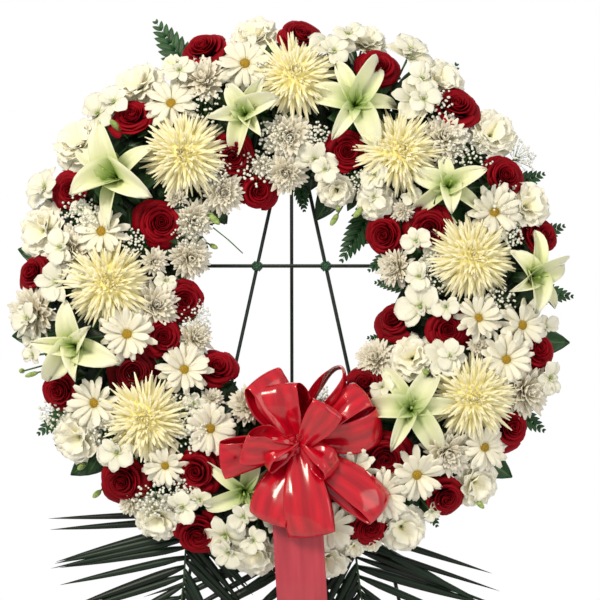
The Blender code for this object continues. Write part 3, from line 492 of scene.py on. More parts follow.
@dataclass
class Bed:
    """The ellipse round the foam that heads sit on, and every head's place on it.

    Each head in the tables: across and up from the ring's centre, and radius, in millimetres.
    """

    ring: float = 0.260  # radius of the middle of the bed
    half: float = 0.128  # half its width
    level: float = 48 * MM  # level of its edges, from the ring's back
    rise: float = 60 * MM  # from its edges to its crown
    facing: float = 0.50  # how far heads follow its slope, from 0, where all face forwards
    aim_level: float = 20 * MM  # level in the foam that stems aim at
    inner: float = 0.150  # heads stay between these radii
    outer: float = 0.385
    bloom: float = 1.16  # white heads are larger than in the table by this much
    press: float = 0.72  # how near heads come to each other, as a share of their radii
    settling: int = 8  # rounds in which they push each other apart
    head_turn: float = 2.4  # radians from one head's own turn to the next, so that no two look alike
    rim: float = 0.182  # white heads nearer than this to the hole's middle are smaller
    small: float = 0.80
    sector_turn: float = radians(15)  # where the first eighth of the bed starts
    sectors: int = 8
    roses: tuple = (
        (-123, 329, 33), (11, 365, 31), (-227, 245, 29), (123, 322, 30), (234, 258, 34), (-88, 195, 34),
        (66, 206, 30), (-311, 143, 27), (-41, 140, 27), (-183, 101, 32), (305, 165, 29), (209, 100, 33),
        (145, 82, 28), (347, 59, 28), (-356, 24, 27), (-143, -11, 28), (-188, -57, 29), (-218, -116, 33),
        (-101, -106, 27), (-325, -134, 27), (148, -36, 26), (223, -57, 28), (342, -78, 29), (146, -211, 33),
        (308, -196, 32), (101, -137, 28), (-132, -258, 33), (-239, -269, 31), (-134, -342, 31),
        (220, -289, 28), (108, -333, 28),
    )
    whites: dict = field(default_factory=lambda: {
        Kind.FUJI: ((0, 280, 56), (-169, 185, 56), (157, 199, 56), (-250, 20, 58), (252, 42, 56),
                    (-202, -187, 56), (243, -144, 56)),
        Kind.LILY: ((-238, 146, 66), (-74, 262, 50), (73, 252, 58), (209, 154, 50), (306, 12, 54),
                    (-306, -86, 60), (186, -176, 56), (-81, -291, 50)),
        Kind.DAISY: ((-155, 254, 33), (-46, 344, 34), (-274, 84, 33), (276, 96, 34), (-246, -56, 34),
                     (275, -34, 30), (316, -44, 32), (-151, -114, 32), (-266, -160, 33), (290, -104, 32),
                     (95, -251, 30), (139, -274, 33), (181, -252, 33), (-172, -232, 28), (-113, -193, 32),
                     (52, -333, 32), (262, -214, 30)),
        Kind.MUM: ((-53, 372, 34), (-221, 305, 36), (-294, 206, 38), (-352, 86, 36), (92, 366, 34),
                   (213, 308, 36), (283, 222, 36), (338, 118, 34), (-100, 145, 33), (-8, 172, 32),
                   (-140, 52, 33), (62, 146, 32), (126, 140, 34), (160, -102, 32), (-362, -34, 34),
                   (-312, -200, 36), (-186, -318, 32), (-50, -372, 34), (50, -378, 32), (160, -338, 34),
                   (262, -262, 34), (332, -140, 34), (-146, 98, 30), (150, 34, 30), (124, -98, 30),
                   (-128, -62, 28), (-60, -160, 30), (84, -168, 28), (-20, 236, 30), (-300, 60, 32),
                   (-198, -20, 30), (212, 208, 30), (-118, 300, 30), (204, -232, 30)),
        Kind.ORCHID: ((66, 356, 30), (164, 338, 30), (178, 276, 28), (-280, 256, 28), (-348, 150, 28),
                      (38, 186, 26), (187, -11, 30), (222, -100, 26), (-88, -330, 28), (-338, 24, 26)),
        Kind.SPRAY: ((-96, 262, 24), (252, 196, 24), (-290, 120, 22), (-160, -290, 24), (212, 20, 20),
                     (-60, 170, 20), (300, -20, 18), (-330, -170, 18)),
    })
    # Which of the cushion heads are ruffled carnations
    carnations: frozenset = frozenset((0, 1, 2, 3, 4, 5, 6, 7, 11, 12, 13, 15, 16, 17, 18, 19, 20))

    def place(self, across: float, up: float, sunk: float, roll: float = 0.0) -> tuple[Matrix, Vector]:
        """Where something sits and faces on the bed.

        Args:
            across: distance across from the ring's centre.
            up: distance up from it.
            sunk: depth below the bed's surface.
            roll: turn about its own axis.

        Returns:
            The matrix, and the point its stem aims at in that matrix's frame.
        """
        distance = hypot(across, up)
        radial = Vector((across / distance, up / distance, 0))
        share = max(-0.98, min(0.98, (distance - self.ring) / self.half))
        head = Vector((across, up, self.level + self.rise * sqrt(1 - share ** 2)))
        turn = self.facing * asin(share)
        out = sin(turn) * radial + cos(turn) * Vector((0, 0, 1))
        spin = out.to_track_quat("Z", "Y").to_matrix().to_4x4()
        matrix = Matrix.Translation(head - out * sunk) @ spin @ turned(roll)
        return matrix, matrix.inverted() @ (radial * self.ring + Vector((0, 0, self.aim_level)))

    def head(self, kind: Kind, across: float, up: float, radius: float, number: int) -> Head:
        """Puts a head on the bed.

        Args:
            kind: kind of flower.
            across: distance across from the ring's centre.
            up: distance up from it.
            radius: the head's radius.
            number: the head's number.

        Returns:
            The head.
        """
        sunk = kind.value[1] * kind.value[0] * radius
        matrix, aim = self.place(across, up, sunk, roll=number * self.head_turn)
        return Head(kind, radius, matrix, aim, number)

    def settled(self) -> list[Head]:
        """Every head, after crowded ones have pushed each other apart.

        Returns:
            The roses first, then the white flowers kind by kind.
        """
        spots = [[Kind.ROSE, Vector((x, y)) * MM, r * MM] for x, y, r in self.roses]
        for kind, places in self.whites.items():
            spots += [[kind, Vector((x, y)) * MM, self.bloom * r * MM] for x, y, r in places]
        for _ in range(self.settling):
            for i, (kind, spot, radius) in enumerate(spots):
                for other, beside, size in spots[i + 1:]:
                    roses = kind is other is Kind.ROSE
                    least = (radius + size) * (1.0 if roses else self.press) + (2 * MM if roses else 0)
                    apart = beside - spot
                    if apart.length < least:
                        push = apart.normalized() * (least - apart.length) / 2
                        spot -= push
                        beside += push
            for _, spot, radius in spots:
                spot *= max(self.inner, min(self.outer, spot.length)) / spot.length
        heads, mums = [], 0
        for number, (kind, spot, radius) in enumerate(spots):
            if spot.length < self.rim and kind is not Kind.ROSE:
                radius *= self.small
            if kind is Kind.MUM:
                kind = Kind.CARNATION if mums in self.carnations else kind
                mums += 1
            heads.append(self.head(kind, spot.x, spot.y, radius, number))
        return heads

    def sector(self, across: float, up: float) -> int:
        """Which eighth of the bed a place is in."""
        angle = (atan2(up, across) - self.sector_turn) % (2 * pi)
        return int(angle / (2 * pi / self.sectors))


@dataclass
class Rose:
    """A rose half open: petals wrapped round a tight heart, and the outer ones rolled back."""

    petals: int = 27
    darkest: int = 17  # number of the maroon rose
    lean: float = 0.20  # most that a rose leans either way
    stem: tuple = (1.8 * MM, 2.2 * MM)  # radius at its foot and under the cup
    stem_gap: float = 18 * MM  # how far before its aim it ends
    finishes: tuple = (
        # the near-black root is painted shade deep in the folds between the petals
        PetalFinish("rose petal", "0C0003", "58010D", "A40218", turn=0.6, roughness=0.6, veins=12,
                    relief=0.15, least=0.45, most=1.25, glow_mm=1.5, shine=0.12),
        LeafFinish("rose calyx", "3F6B2C", "274A1E", "5E8A40"),
    )

    def build(self, heads: list[Head]) -> list[bpy.types.Object]:
        """Builds every rose.

        Args:
            heads: every settled head.

        Returns:
            The objects.
        """
        petals = [finish.build() for finish in self.finishes]
        roses = [head for head in heads if head.kind is Kind.ROSE]
        return [self.bloom(head, f"rose_{number + 1:02d}", petals) for number, head in enumerate(roses)]

    def bloom(self, head: Head, name: str, finishes: list[bpy.types.Material]) -> bpy.types.Object:
        """Builds one rose on its stem.

        Args:
            head: its place and size.
            name: name of the piece, from its CAD node.
            finishes: petal and calyx materials.

        Returns:
            The object.
        """
        rng = random.Random(head.number)
        bunch = Bunch(f"{name}_bloom", finishes, 0.4 * MM)
        lean = turned(rng.uniform(-self.lean, self.lean), "X")
        lean = lean @ turned(rng.uniform(-self.lean, self.lean), "Y")
        world = WREATH @ head.matrix @ lean
        depth = 0.7 if head.number == self.darkest else rng.uniform(0.0, 0.3)
        opened = rng.uniform(-0.10, 0.16)
        for i in range(self.petals):
            share = i / (self.petals - 1)
            turn = GOLDEN * i + rng.uniform(-0.15, 0.15)
            # inner petals darker: painted shade in the rose's heart; the random part and depth are each
            # petal's and each rose's own tone
            tone = 0.40 + 0.40 * share + rng.uniform(-0.2, 0.2) - depth
            shape = self.petal(head, share, rng.uniform(-1, 1), opened + rng.uniform(-0.06, 0.06))
            bunch.sheet(world @ turned(turn), 8, 7, shape, 0, max(0.0, min(1.0, tone)))
        self.calyx(bunch, head, world, rng)
        return bunch.make([name])

    def petal(self, head: Head, share: float, whim: float, opened: float) -> Shape:
        """Shape of one petal.

        Args:
            head: the rose.
            share: 0 for the innermost petal and 1 for the outermost.
            whim: its own difference from its neighbours, -1 to 1.
            opened: how far the rose has opened past half, as a share of its height.

        Returns:
            The shape, round the rose's axis.
        """
        radius, height = head.radius, head.height
        rim = radius * (0.05 + 0.90 * share ** 1.15) * (1 + 0.07 * whim * share)
        top = height * (0.86 + 0.50 * share - (0.86 + opened) * share * share)
        belly = (rim * (1.05 - 0.25 * share) + 0.10 * radius * (1 - share), top * (0.62 - 0.22 * share))
        foot = (0.07 * radius, 0.08 * height)
        wrap = 2.0 - 1.22 * share ** 0.6
        roll = (0.02 + 0.20 * share) * (1 + 0.4 * whim)

        def shape(u: float, v: float) -> Vector:
            """Place of a point of the petal.

            Args:
                u: from -1 to 1 across it.
                v: from 0 to 1 along it.

            Returns:
                The point.
            """
            along = v * (1 - 0.22 * abs(u) ** 3 + 0.09 * share * max(0.0, 1 - 2.2 * abs(u)))
            a, b, c = (1 - along) ** 2, 2 * along * (1 - along), along * along
            out = a * foot[0] + b * belly[0] + c * rim
            up = a * foot[1] + b * belly[1] + c * top
            past = max(0.0, (along + 0.16 * share * u * u - 0.68) / 0.32)
            out += radius * roll * past * (1 + 0.4 * u * u)
            up -= height * roll * 0.95 * past * past
            out += 0.05 * radius * u * (1 - 0.5 * share)
            ripple = 0.02 * radius * share * v * sin(5 * u + 4 * whim)
            angle = u * wrap * (0.50 + 0.50 * sin(pi / 2 * min(1.0, 1.3 * v)))
            return Vector((-sin(angle) * (out + ripple), cos(angle) * (out + ripple), up + ripple))

        return shape

    def calyx(self, bunch: Bunch, head: Head, world: Matrix, rng: random.Random) -> None:
        """Adds the green cup, its five sepals and the stem down into the foam.

        Args:
            bunch: piece that it joins.
            head: its place and size.
            world: its matrix.
            rng: its own random draw.
        """
        radius = head.radius
        cup = moved(0, 0, 0.06 * radius) @ stretched(0.2 * radius, 0.2 * radius, 0.16 * radius)
        bunch.ball(world @ cup, 1, 2)
        for k in range(5):
            blade = Blade(0.75 * radius, 0.24 * radius, rise=radians(rng.uniform(-20, 25)),
                          bend=radians(-30), taper=1.0, widest=0.25, root=0.6)
            bunch.sheet(world @ turned(k * tau / 5), 2, 4, blade.point, 1)
        end = head.aim * (1 - self.stem_gap / head.aim.length)
        bunch.stalk(world @ end, world.translation, *self.stem, 1, 6)


class LilyForm(Enum):
    """How open a lily is: opening at the root, turn by the tip, and how far its petals droop."""

    OPEN = (62, -92, 0.0)
    TRUMPET = (76, -66, 0.0)
    WILTING = (66, -120, 0.6)


@dataclass
class WhiteFlowers:
    """Every white and cream flower, the sprays, and the leaves of the bed between them."""

    bed: Bed
    # The lilies that aren't open, by their place in the bed's list
    lily_forms: dict = field(default_factory=lambda: {
        7: LilyForm.WILTING, 5: LilyForm.TRUMPET, 1: LilyForm.TRUMPET})
    # Blossoms laid over the others: across, up and radius in millimetres
    orchids: tuple = (
        (-158, 312, 22), (-345, 145, 26), (-320, 60, 24), (-290, 20, 22), (80, 365, 24), (60, 340, 22),
        (170, 345, 24), (185, 300, 26), (185, 270, 24), (50, 175, 20), (120, 165, 22), (120, 135, 20),
        (180, 70, 22), (185, 20, 22), (220, -25, 20), (360, -120, 24), (-365, -40, 24), (-240, -225, 26),
        (-150, -300, 24), (-65, -315, 22), (-85, -360, 24), (-52, -345, 20), (130, -140, 18),
        (-250, 265, 26), (225, -95, 22),
    )
    sprays: tuple = (
        (-293, 101, 24), (-24, 221, 22), (-111, 174, 24), (-146, 87, 24), (-35, 309, 20), (232, 206, 26),
        (329, 197, 22), (300, 127, 24), (206, 42, 20), (206, 265, 24), (-150, -169, 24), (-258, -199, 26),
        (-137, -35, 22), (-193, -293, 24), (-137, -204, 22), (41, -151, 16),
    )
    buds: tuple = (
        (-249, 235), (-249, 192), (-113, 106), (-115, 69), (69, 122), (64, 109), (98, 116), (-381, -111),
        (-367, -116), (-295, -246), (-273, -284), (265, -298), (189, -116),
    )
    twig: tuple = ((-111, 90), (-90, 74), (-69, 55))
    twig_level: float = 96 * MM
    bud_lift: float = 6 * MM  # above the bed
    filler_least: float = 9 * MM  # smallest gap that gets a filler
    filler_most: float = 20 * MM  # largest radius of one
    filler_tries: int = 2600
    filler_kinds: tuple = (
        Kind.MUM, Kind.SPRAY, Kind.ORCHID, Kind.MUM, Kind.SPRAY, Kind.CARNATION, Kind.ORCHID)
    behind_bow: tuple = (-0.075, 0.105, -0.30, -0.14)  # left, right, low and high: no fillers there
    first_filler: int = 400  # numbers of the heads, which also seed their draws
    first_orchid: int = 700
    first_spray: int = 750
    seed: int = 1000
    tilt: float = 0.14  # most that a head leans either way
    overlay_turn: float = 1.7  # radians from one blossom's own turn to the next
    stem: tuple = (1.4 * MM, 1.6 * MM)  # radius at its foot and under the head
    stem_gap: float = 40 * MM  # how far before its aim it ends
    large: float = 24 * MM  # heads above this radius have the larger number of petals
    spider_petals: int = 310
    spider_backing: int = 40
    mum_petals: tuple = (84, 50)
    carnation_petals: tuple = (22, 14)
    rays: tuple = (24, 26, 28)
    threads: int = 30  # of a spray
    leaves: int = 110
    leaf_spread: tuple = (-0.098, 0.108)  # where they grow, from the middle of the bed
    backing: int = 54  # broad leaves behind them, where there's no foam
    backing_outside: tuple = (0.035, 0.105)  # from the middle of the bed
    backing_inside: tuple = (0.055, 0.10)
    spray_reach: float = 0.078  # sprays stay this near to the middle of the bed

    def finishes(self) -> dict[str, bpy.types.Material]:
        """Makes the materials of petals, centres and greenery.

        Returns:
            Materials by what they cover.
        """
        made = {
            "fuji": PetalFinish("spider mum petal", "FBEFA2", "FDF4B8", "FFF9DA", turn=0.55, veins=3,
                                least=0.97, relief=0.1),
            "lily": PetalFinish("lily petal", "93B846", "EEF1C6", "FBFAE4", turn=0.5, veins=7, relief=0.35,
                                least=0.92),
            "daisy": PetalFinish("daisy petal", "CFCC98", "F9F4DC", "FCF8E6", turn=0.25, veins=5, relief=0.3),
            # the greyer, warmer root is painted shade deep among the petals
            "mum": PetalFinish("cushion mum petal", "E0D6B2", "F5EDD6", "FBF6E6", turn=0.4, veins=4),
            "carnation": PetalFinish("carnation petal", "EEEBBE", "FCF8DE", "FEFBEC", turn=0.35, veins=9,
                                     relief=0.10, least=0.97),
            "orchid": PetalFinish("orchid petal", "B4C662", "F6F4DE", "FAF8E8", turn=0.26, veins=8,
                                  relief=0.3),
            "button": GrainFinish("disc florets", "7A5E08", "C29A18", 1.3, 0.8, 0.9, 0.8),
            "bud": GrainFinish("unopened bud", "6E9440", "B9C97C", 4.0, 0.5),
            "breath": GrainFinish("gypsophila floret", "E9EADC", "FAFAF4", 1.2, 0.7, 0.6, 0.5),
            "stem": GrainFinish("green stem", "2F5523", "56803A", 3.0, 0.5),
            "throat": GrainFinish("lily stigma", "7FA23A", "A9C45A", 2.0, 0.4),
            "leaf": LeafFinish("bed leaf", "24491F", "0B1B0A", "3E6632"),
        }
        return {key: finish.build() for key, finish in made.items()}

    def build(self, heads: list[Head]) -> list[bpy.types.Object]:
        """Builds every sector: a piece for each kind of flower in it.

        Args:
            heads: every settled head.

        Returns:
            The objects.
        """
        finishes = self.finishes()
        fillers = self.fillers(heads)
        builders = {
            Kind.FUJI: (self.fuji, "spider_mums", ["fuji", "stem"]),
            Kind.LILY: (self.lily, "lilies", ["lily", "throat", "stem"]),
            Kind.DAISY: (self.daisy, "daisies", ["daisy", "button", "stem"]),
            Kind.MUM: (self.mum, "cushion_mums", ["mum", "bud", "stem"]),
            Kind.CARNATION: (self.carnation, "carnations", ["carnation", "bud", "stem"]),
            Kind.ORCHID: (self.orchid, "orchids", ["orchid", "bud", "stem"]),
            Kind.SPRAY: (self.spray, "babys_breath", ["breath", "stem"]),
        }
        made = []
        whites = [head for head in heads if head.kind is not Kind.ROSE] + fillers + self.overlay()
        lilies = [head.number for head in whites if head.kind is Kind.LILY]
        for sector in range(self.bed.sectors):
            node = f"white_flowers_{sector + 1}"
            mine = [h for h in whites if self.bed.sector(*h.matrix.translation.xy) == sector]
            for kind, (builder, name, wanted) in builders.items():
                some = [head for head in mine if head.kind is kind]
                if not some:
                    continue
                bunch = Bunch(f"{name}_{sector + 1}", [finishes[key] for key in wanted])
                for head in some:
                    rng = random.Random(self.seed + head.number)
                    world = WREATH @ head.matrix @ turned(rng.uniform(-self.tilt, self.tilt), "X")
                    world = world @ turned(rng.uniform(-self.tilt, self.tilt), "Y")
                    if kind is Kind.LILY:
                        form = self.lily_forms.get(lilies.index(head.number), LilyForm.OPEN)
                        self.lily(bunch, head, world, rng, form)
                    else:
                        builder(bunch, head, world, rng)
                    foot = head.aim * (1 - self.stem_gap / head.aim.length)
                    bunch.stalk(world @ foot, world @ Vector((0, 0, 0.3 * head.height)), *self.stem,
                                len(wanted) - 1)
                made.append(bunch.make([node]))
            made.append(self.greens(sector, finishes, node))
        return made

    def overlay(self) -> list[Head]:
        """The orchids and sprays that lie over the other flowers.

        Returns:
            The heads.
        """
        made = []
        for kind, places, sunk, first in ((Kind.ORCHID, self.orchids, -4 * MM, self.first_orchid),
                                          (Kind.SPRAY, self.sprays, 4 * MM, self.first_spray)):
            for number, (x, y, radius) in enumerate(places):
                matrix, aim = self.bed.place(x * MM, y * MM, sunk, roll=number * self.overlay_turn)
                made.append(Head(kind, radius * MM, matrix, aim, first + number))
        return made

    def fillers(self, heads: list[Head]) -> list[Head]:
        """Small blossoms and sprays for the gaps that the big heads leave.

        Args:
            heads: every settled head.

        Returns:
            The new heads.
        """
        rng = random.Random(7)
        taken = [(head.matrix.translation.xy.copy(), head.radius)
                 for head in heads if head.kind is not Kind.SPRAY]
        made = []
        left, right, low, high = self.behind_bow
        for _ in range(self.filler_tries):
            angle, distance = rng.uniform(0, tau), rng.uniform(self.bed.inner + 0.024, self.bed.outer - 0.006)
            spot = Vector((cos(angle), sin(angle))) * distance
            if left < spot.x < right and low < spot.y < high:
                continue
            gap = min((spot - place).length - 0.80 * radius for place, radius in taken)
            if gap < self.filler_least:
                continue
            size = min(gap + 6 * MM, self.filler_most)
            kind = self.filler_kinds[len(made) % len(self.filler_kinds)]
            if kind is Kind.SPRAY and abs(distance - self.bed.ring) > self.spray_reach:
                kind = Kind.ORCHID
            made.append(self.bed.head(kind, spot.x, spot.y, size, self.first_filler + len(made)))
            taken.append((spot, size))
        return made

    def fuji(self, bunch: Bunch, head: Head, world: Matrix, rng: random.Random) -> None:
        """Adds a spider mum: fine quilled petals, short at the heart and hooked at their ends.

        Args:
            bunch: piece that it joins.
            head: its place and size.
            world: its matrix.
            rng: its own random draw.
        """
        radius = head.radius
        for i in range(self.spider_petals):
            share = ((i + 0.5) / self.spider_petals) ** 0.58
            blade = Blade(
                radius * (0.26 + 0.74 * share) * rng.uniform(0.86, 1.04), rng.uniform(3.5, 4.8) * MM,
                rise=radians(76 - 78 * share ** 1.15 + rng.uniform(-9, 9)),
                bend=radians(rng.uniform(-46, 24) if share > 0.4 else rng.uniform(-30, 50)),
                cup=0.5, widest=0.8, root=0.9, taper=0.4, twist=rng.uniform(-0.7, 0.7),
            )
            lift = head.height * (0.40 + 0.22 * (1 - share))
            place = turned(GOLDEN * i + rng.uniform(-0.2, 0.2))
            place = place @ moved(0, 0.10 * radius * share, lift)
            # inner petals a little darker: painted shade in the heart, besides each petal's own tone at
            # random
            tone = 0.5 + 0.3 * share + rng.uniform(-0.3, 0.3)
            bunch.sheet(world @ place, 2, 4, blade.point, 0, tone)
        dome = moved(0, 0, 0.42 * head.height) @ stretched(0.52 * radius, 0.52 * radius, 0.52 * head.height)
        bunch.ball(world @ dome, 0, 3, 0.6)
        for i in range(self.spider_backing):
            blade = Blade(radius * rng.uniform(0.74, 0.94), 9 * MM, rise=radians(rng.uniform(0, 16)),
                          bend=radians(-24), cup=0.3, widest=0.7, root=0.6, taper=0.5)
            place = turned(i * tau / self.spider_backing) @ moved(0, 0, 0.36 * head.height)
            # the lower petals are darker: painted shade under the upper ones
            bunch.sheet(world @ place, 2, 4, blade.point, 0, rng.uniform(0.1, 0.6))

    def lily(self, bunch: Bunch, head: Head, world: Matrix, rng: random.Random,
             form: LilyForm = LilyForm.OPEN) -> None:
        """Adds a lily: six petals that curl back, with a green throat, stamens and stigma.

        Args:
            bunch: piece that it joins.
            head: its place and size.
            world: its matrix.
            rng: its own random draw.
            form: how open it is.
        """
        radius = head.radius
        rise, bend, droop = form.value
        for k in range(6):
            inner = k % 2
            blade = Blade(
                radius * rng.uniform(0.96, 1.24), radius * (0.52 if inner else 0.37) * (1 - 0.3 * droop),
                rise=radians(rise + rng.uniform(-18, 16) - 60 * droop * rng.random()),
                bend=radians(bend + rng.uniform(-62, 34)), cup=rng.uniform(0.4, 1.5), widest=0.42, root=0.32,
                taper=0.85, ruffle=0.08 * radius, waves=rng.uniform(1.1, 2.3), phase=rng.uniform(0, 6),
                twist=rng.uniform(-1.4, 1.4) * (1 + 0.6 * droop), groove=0.28,
            )
            place = turned(k * tau / 6 + rng.uniform(-0.22, 0.22))
            place = place @ moved(0, 0.03 * radius, head.height * (0.30 + 0.03 * inner))
            bunch.sheet(world @ place, 6, 10, blade.point, 0, rng.uniform(0.3, 1.0))
        foot = Vector((0, 0, 0.3 * head.height))
        for k in range(6):
            angle = k * tau / 6 + 0.3
            tip = Vector((0.22 * radius * cos(angle), 0.22 * radius * sin(angle), 0.92 * head.height))
            bunch.stalk(world @ foot, world @ tip, 0.7 * MM, 0.5 * MM, 1, 4)
        tip = Vector((0, 0.05 * radius, 1.02 * head.height))
        bunch.stalk(world @ foot, world @ tip, 1.2 * MM, 1.0 * MM, 1, 6)
        bunch.ball(world @ Matrix.Translation(tip) @ stretched(2.2 * MM, 2.2 * MM, 1.6 * MM), 1, 1)

    def daisy(self, bunch: Bunch, head: Head, world: Matrix, rng: random.Random) -> None:
        """Adds a daisy: two rows of blunt rays round a raised button.

        Args:
            bunch: piece that it joins.
            head: its place and size.
            world: its matrix.
            rng: its own random draw.
        """
        rays, radius = rng.choice(self.rays), head.radius
        level = 0.78 * head.height
        opened = rng.uniform(0, 22)
        for i in range(rays):
            upper = i % 2
            blade = Blade(radius * (1.04 - 0.14 * upper) * rng.uniform(0.86, 1.06),
                          radius * rng.uniform(0.24, 0.33),
                          rise=radians(rng.uniform(-12, 10) + 16 * upper + opened),
                          bend=radians(rng.uniform(-42, 4)), cup=rng.uniform(-0.3, 0.5), widest=0.70,
                          root=0.3, taper=0.50, twist=rng.uniform(-0.6, 0.6), teeth=0.03)
            place = turned(i * tau / rays + rng.uniform(-0.10, 0.10))
            place = place @ moved(0, 0.10 * radius, level + 0.8 * MM * upper)
            bunch.sheet(world @ place, 3, 5, blade.point, 0, rng.uniform(0.5, 1.0))
        button = moved(0, 0, level + 0.4 * MM) @ stretched(0.20 * radius, 0.20 * radius, 0.12 * radius)
        bunch.ball(world @ button, 1, 3)

    def mum(self, bunch: Bunch, head: Head, world: Matrix, rng: random.Random) -> None:
        """Adds a cushion mum: blunt petals in many rows, upright in the middle and spread at the rim.

        Args:
            bunch: piece that it joins.
            head: its place and size.
            world: its matrix.
            rng: its own random draw.
        """
        radius = head.radius
        count = self.mum_petals[0 if radius > self.large else 1]
        for i in range(count):
            share = sqrt((i + 0.5) / count)
            blade = Blade(radius * (0.56 + 0.50 * share) * rng.uniform(0.88, 1.10),
                          radius * rng.uniform(0.20, 0.28),
                          rise=radians(86 - 92 * share ** 1.3 + rng.uniform(-9, 9)),
                          bend=radians(rng.uniform(-12, 40)), cup=0.6, widest=0.68, root=0.35, taper=0.42,
                          twist=rng.uniform(-0.5, 0.5))
            lift = head.height * (0.42 - 0.06 * share)
            place = turned(GOLDEN * i) @ moved(0, 0.10 * radius * share, lift)
            # the upright inner petals are darker: painted shade in the cushion's heart, besides each petal's
            # own tone at random
            bunch.sheet(world @ place, 2, 4, blade.point, 0, 0.3 + 0.4 * share + rng.uniform(-0.2, 0.3))

    def carnation(self, bunch: Bunch, head: Head, world: Matrix, rng: random.Random) -> None:
        """Adds a carnation: fan petals, crowded, with ruffled and toothed edges.

        Args:
            bunch: piece that it joins.
            head: its place and size.
            world: its matrix.
            rng: its own random draw.
        """
        radius = head.radius
        count = self.carnation_petals[0 if radius > self.large else 1]
        for i in range(count):
            share = sqrt((i + 0.5) / count)
            blade = Blade(radius * (0.62 + 0.38 * share) * rng.uniform(0.92, 1.06), radius * 0.88,
                          rise=radians(88 - 84 * share + rng.uniform(-8, 8)),
                          bend=radians(rng.uniform(-34, 0)), cup=0.2, widest=0.84, root=0.14, taper=0.34,
                          ruffle=0.09 * radius, waves=rng.uniform(1.0, 1.9), phase=rng.uniform(0, 6),
                          teeth=0.06)
            lift = head.height * (0.34 - 0.06 * share)
            place = turned(GOLDEN * i) @ moved(0, 0.04 * radius, lift)
            # inner petals a little darker: painted shade among the ruffles, besides each petal's own tone at
            # random
            bunch.sheet(world @ place, 8, 5, blade.point, 0, 0.45 + 0.3 * share + rng.uniform(-0.2, 0.25))

    def orchid(self, bunch: Bunch, head: Head, world: Matrix, rng: random.Random) -> None:
        """Adds an orchid: three sepals, two round petals and a small lip with a green throat.

        Args:
            bunch: piece that it joins.
            head: its place and size.
            world: its matrix.
            rng: its own random draw.
        """
        radius = head.radius
        level = 0.60 * head.height
        for angle, wide, length in ((90, 0.64, 1.0), (210, 0.60, 0.98), (330, 0.60, 0.98), (20, 1.0, 1.04),
                                    (160, 1.0, 1.04)):
            blade = Blade(radius * length * rng.uniform(0.95, 1.1), radius * wide,
                          rise=radians(rng.uniform(18, 34)), bend=radians(rng.uniform(-45, -20)), cup=0.3,
                          widest=0.58, root=0.22, taper=0.55, ruffle=0.03 * radius, waves=1.5,
                          phase=rng.uniform(0, 6))
            raised = level + (1.2 * MM if wide > 0.6 else 0)
            place = turned(radians(angle - 90)) @ moved(0, 0.04 * radius, raised)
            bunch.sheet(world @ place, 4, 5, blade.point, 0, rng.uniform(0.45, 1.0))
        for angle, length in ((270, 0.50), (235, 0.32), (305, 0.32)):
            blade = Blade(radius * length, radius * 0.36, rise=radians(62), bend=radians(-60), cup=0.8,
                          widest=0.6, root=0.5, taper=0.5, ruffle=0.04 * radius)
            place = turned(radians(angle - 90)) @ moved(0, 0.02 * radius, level)
            bunch.sheet(world @ place, 3, 4, blade.point, 0, 0.1)
        column = moved(0, 0, level + 0.12 * radius) @ stretched(0.08 * radius, 0.08 * radius, 0.16 * radius)
        bunch.ball(world @ column, 1, 1)

    def spray(self, bunch: Bunch, head: Head, world: Matrix, rng: random.Random) -> None:
        """Adds a spray of baby's breath: forked threads, each with a tiny floret.

        Args:
            bunch: piece that it joins.
            head: its place and size.
            world: its matrix.
            rng: its own random draw.
        """
        foot = Vector((0, 0, -0.4 * head.height))
        for i in range(self.threads):
            reach = head.radius * 1.1 * sqrt((i + 0.5) / self.threads)
            angle = GOLDEN * i
            tip = Vector((reach * cos(angle), reach * sin(angle),
                          head.height * (1.0 - 0.35 * (reach / head.radius) ** 2) * rng.uniform(0.75, 1.1)))
            bunch.stalk(world @ foot, world @ tip, 0.35 * MM, 0.25 * MM, 1, 3)
            for _ in range(2):
                side = Vector((rng.uniform(-3, 3), rng.uniform(-3, 3), rng.uniform(-2, 2))) * MM
                size = rng.uniform(1.5, 2.6) * MM
                bunch.ball(world @ Matrix.Translation(tip + side) @ stretched(size, size, size * 0.8), 0, 1)

    def greens(self, sector: int, finishes: dict[str, bpy.types.Material], node: str) -> bpy.types.Object:
        """Builds the leaves of the bed in one sector, which fill what the flowers leave.

        Args:
            sector: number of the sector.
            finishes: materials by what they cover.
            node: CAD node of the sector.

        Returns:
            The object.
        """
        rng = random.Random(50 + sector)
        bunch = Bunch(f"bed_leaves_{sector + 1}", [finishes["leaf"], finishes["bud"], finishes["stem"]])
        step = tau / self.bed.sectors
        for _ in range(self.leaves):
            angle = self.bed.sector_turn + (sector + rng.random()) * step
            distance = self.bed.ring + rng.uniform(*self.leaf_spread)
            spot = Vector((cos(angle), sin(angle))) * distance
            matrix, _ = self.bed.place(spot.x, spot.y, rng.uniform(20, 42) * MM, rng.uniform(0, 6.28))
            blade = Blade(rng.uniform(34, 52) * MM, rng.uniform(16, 26) * MM,
                          rise=radians(rng.uniform(-6, 40)),
                          bend=radians(rng.uniform(-50, 10)), cup=0.3, widest=0.42, root=0.15, taper=0.9)
            bunch.sheet(WREATH @ matrix, 2, 5, blade.point, 0, rng.uniform(0.0, 0.9))
        for k in range(self.backing):
            angle = self.bed.sector_turn + (sector + (k + rng.random()) / self.backing) * step
            away = rng.uniform(*self.backing_outside) if k % 3 else -rng.uniform(*self.backing_inside)
            distance = self.bed.ring + away
            spot = Vector((cos(angle), sin(angle))) * distance
            matrix, _ = self.bed.place(spot.x, spot.y, rng.uniform(34, 52) * MM, rng.uniform(0, 6.28))
            blade = Blade(rng.uniform(48, 62) * MM, rng.uniform(28, 38) * MM, rise=rng.uniform(-0.1, 0.3),
                          bend=rng.uniform(-0.6, 0.1), cup=0.2, widest=0.42, root=0.15, taper=0.8)
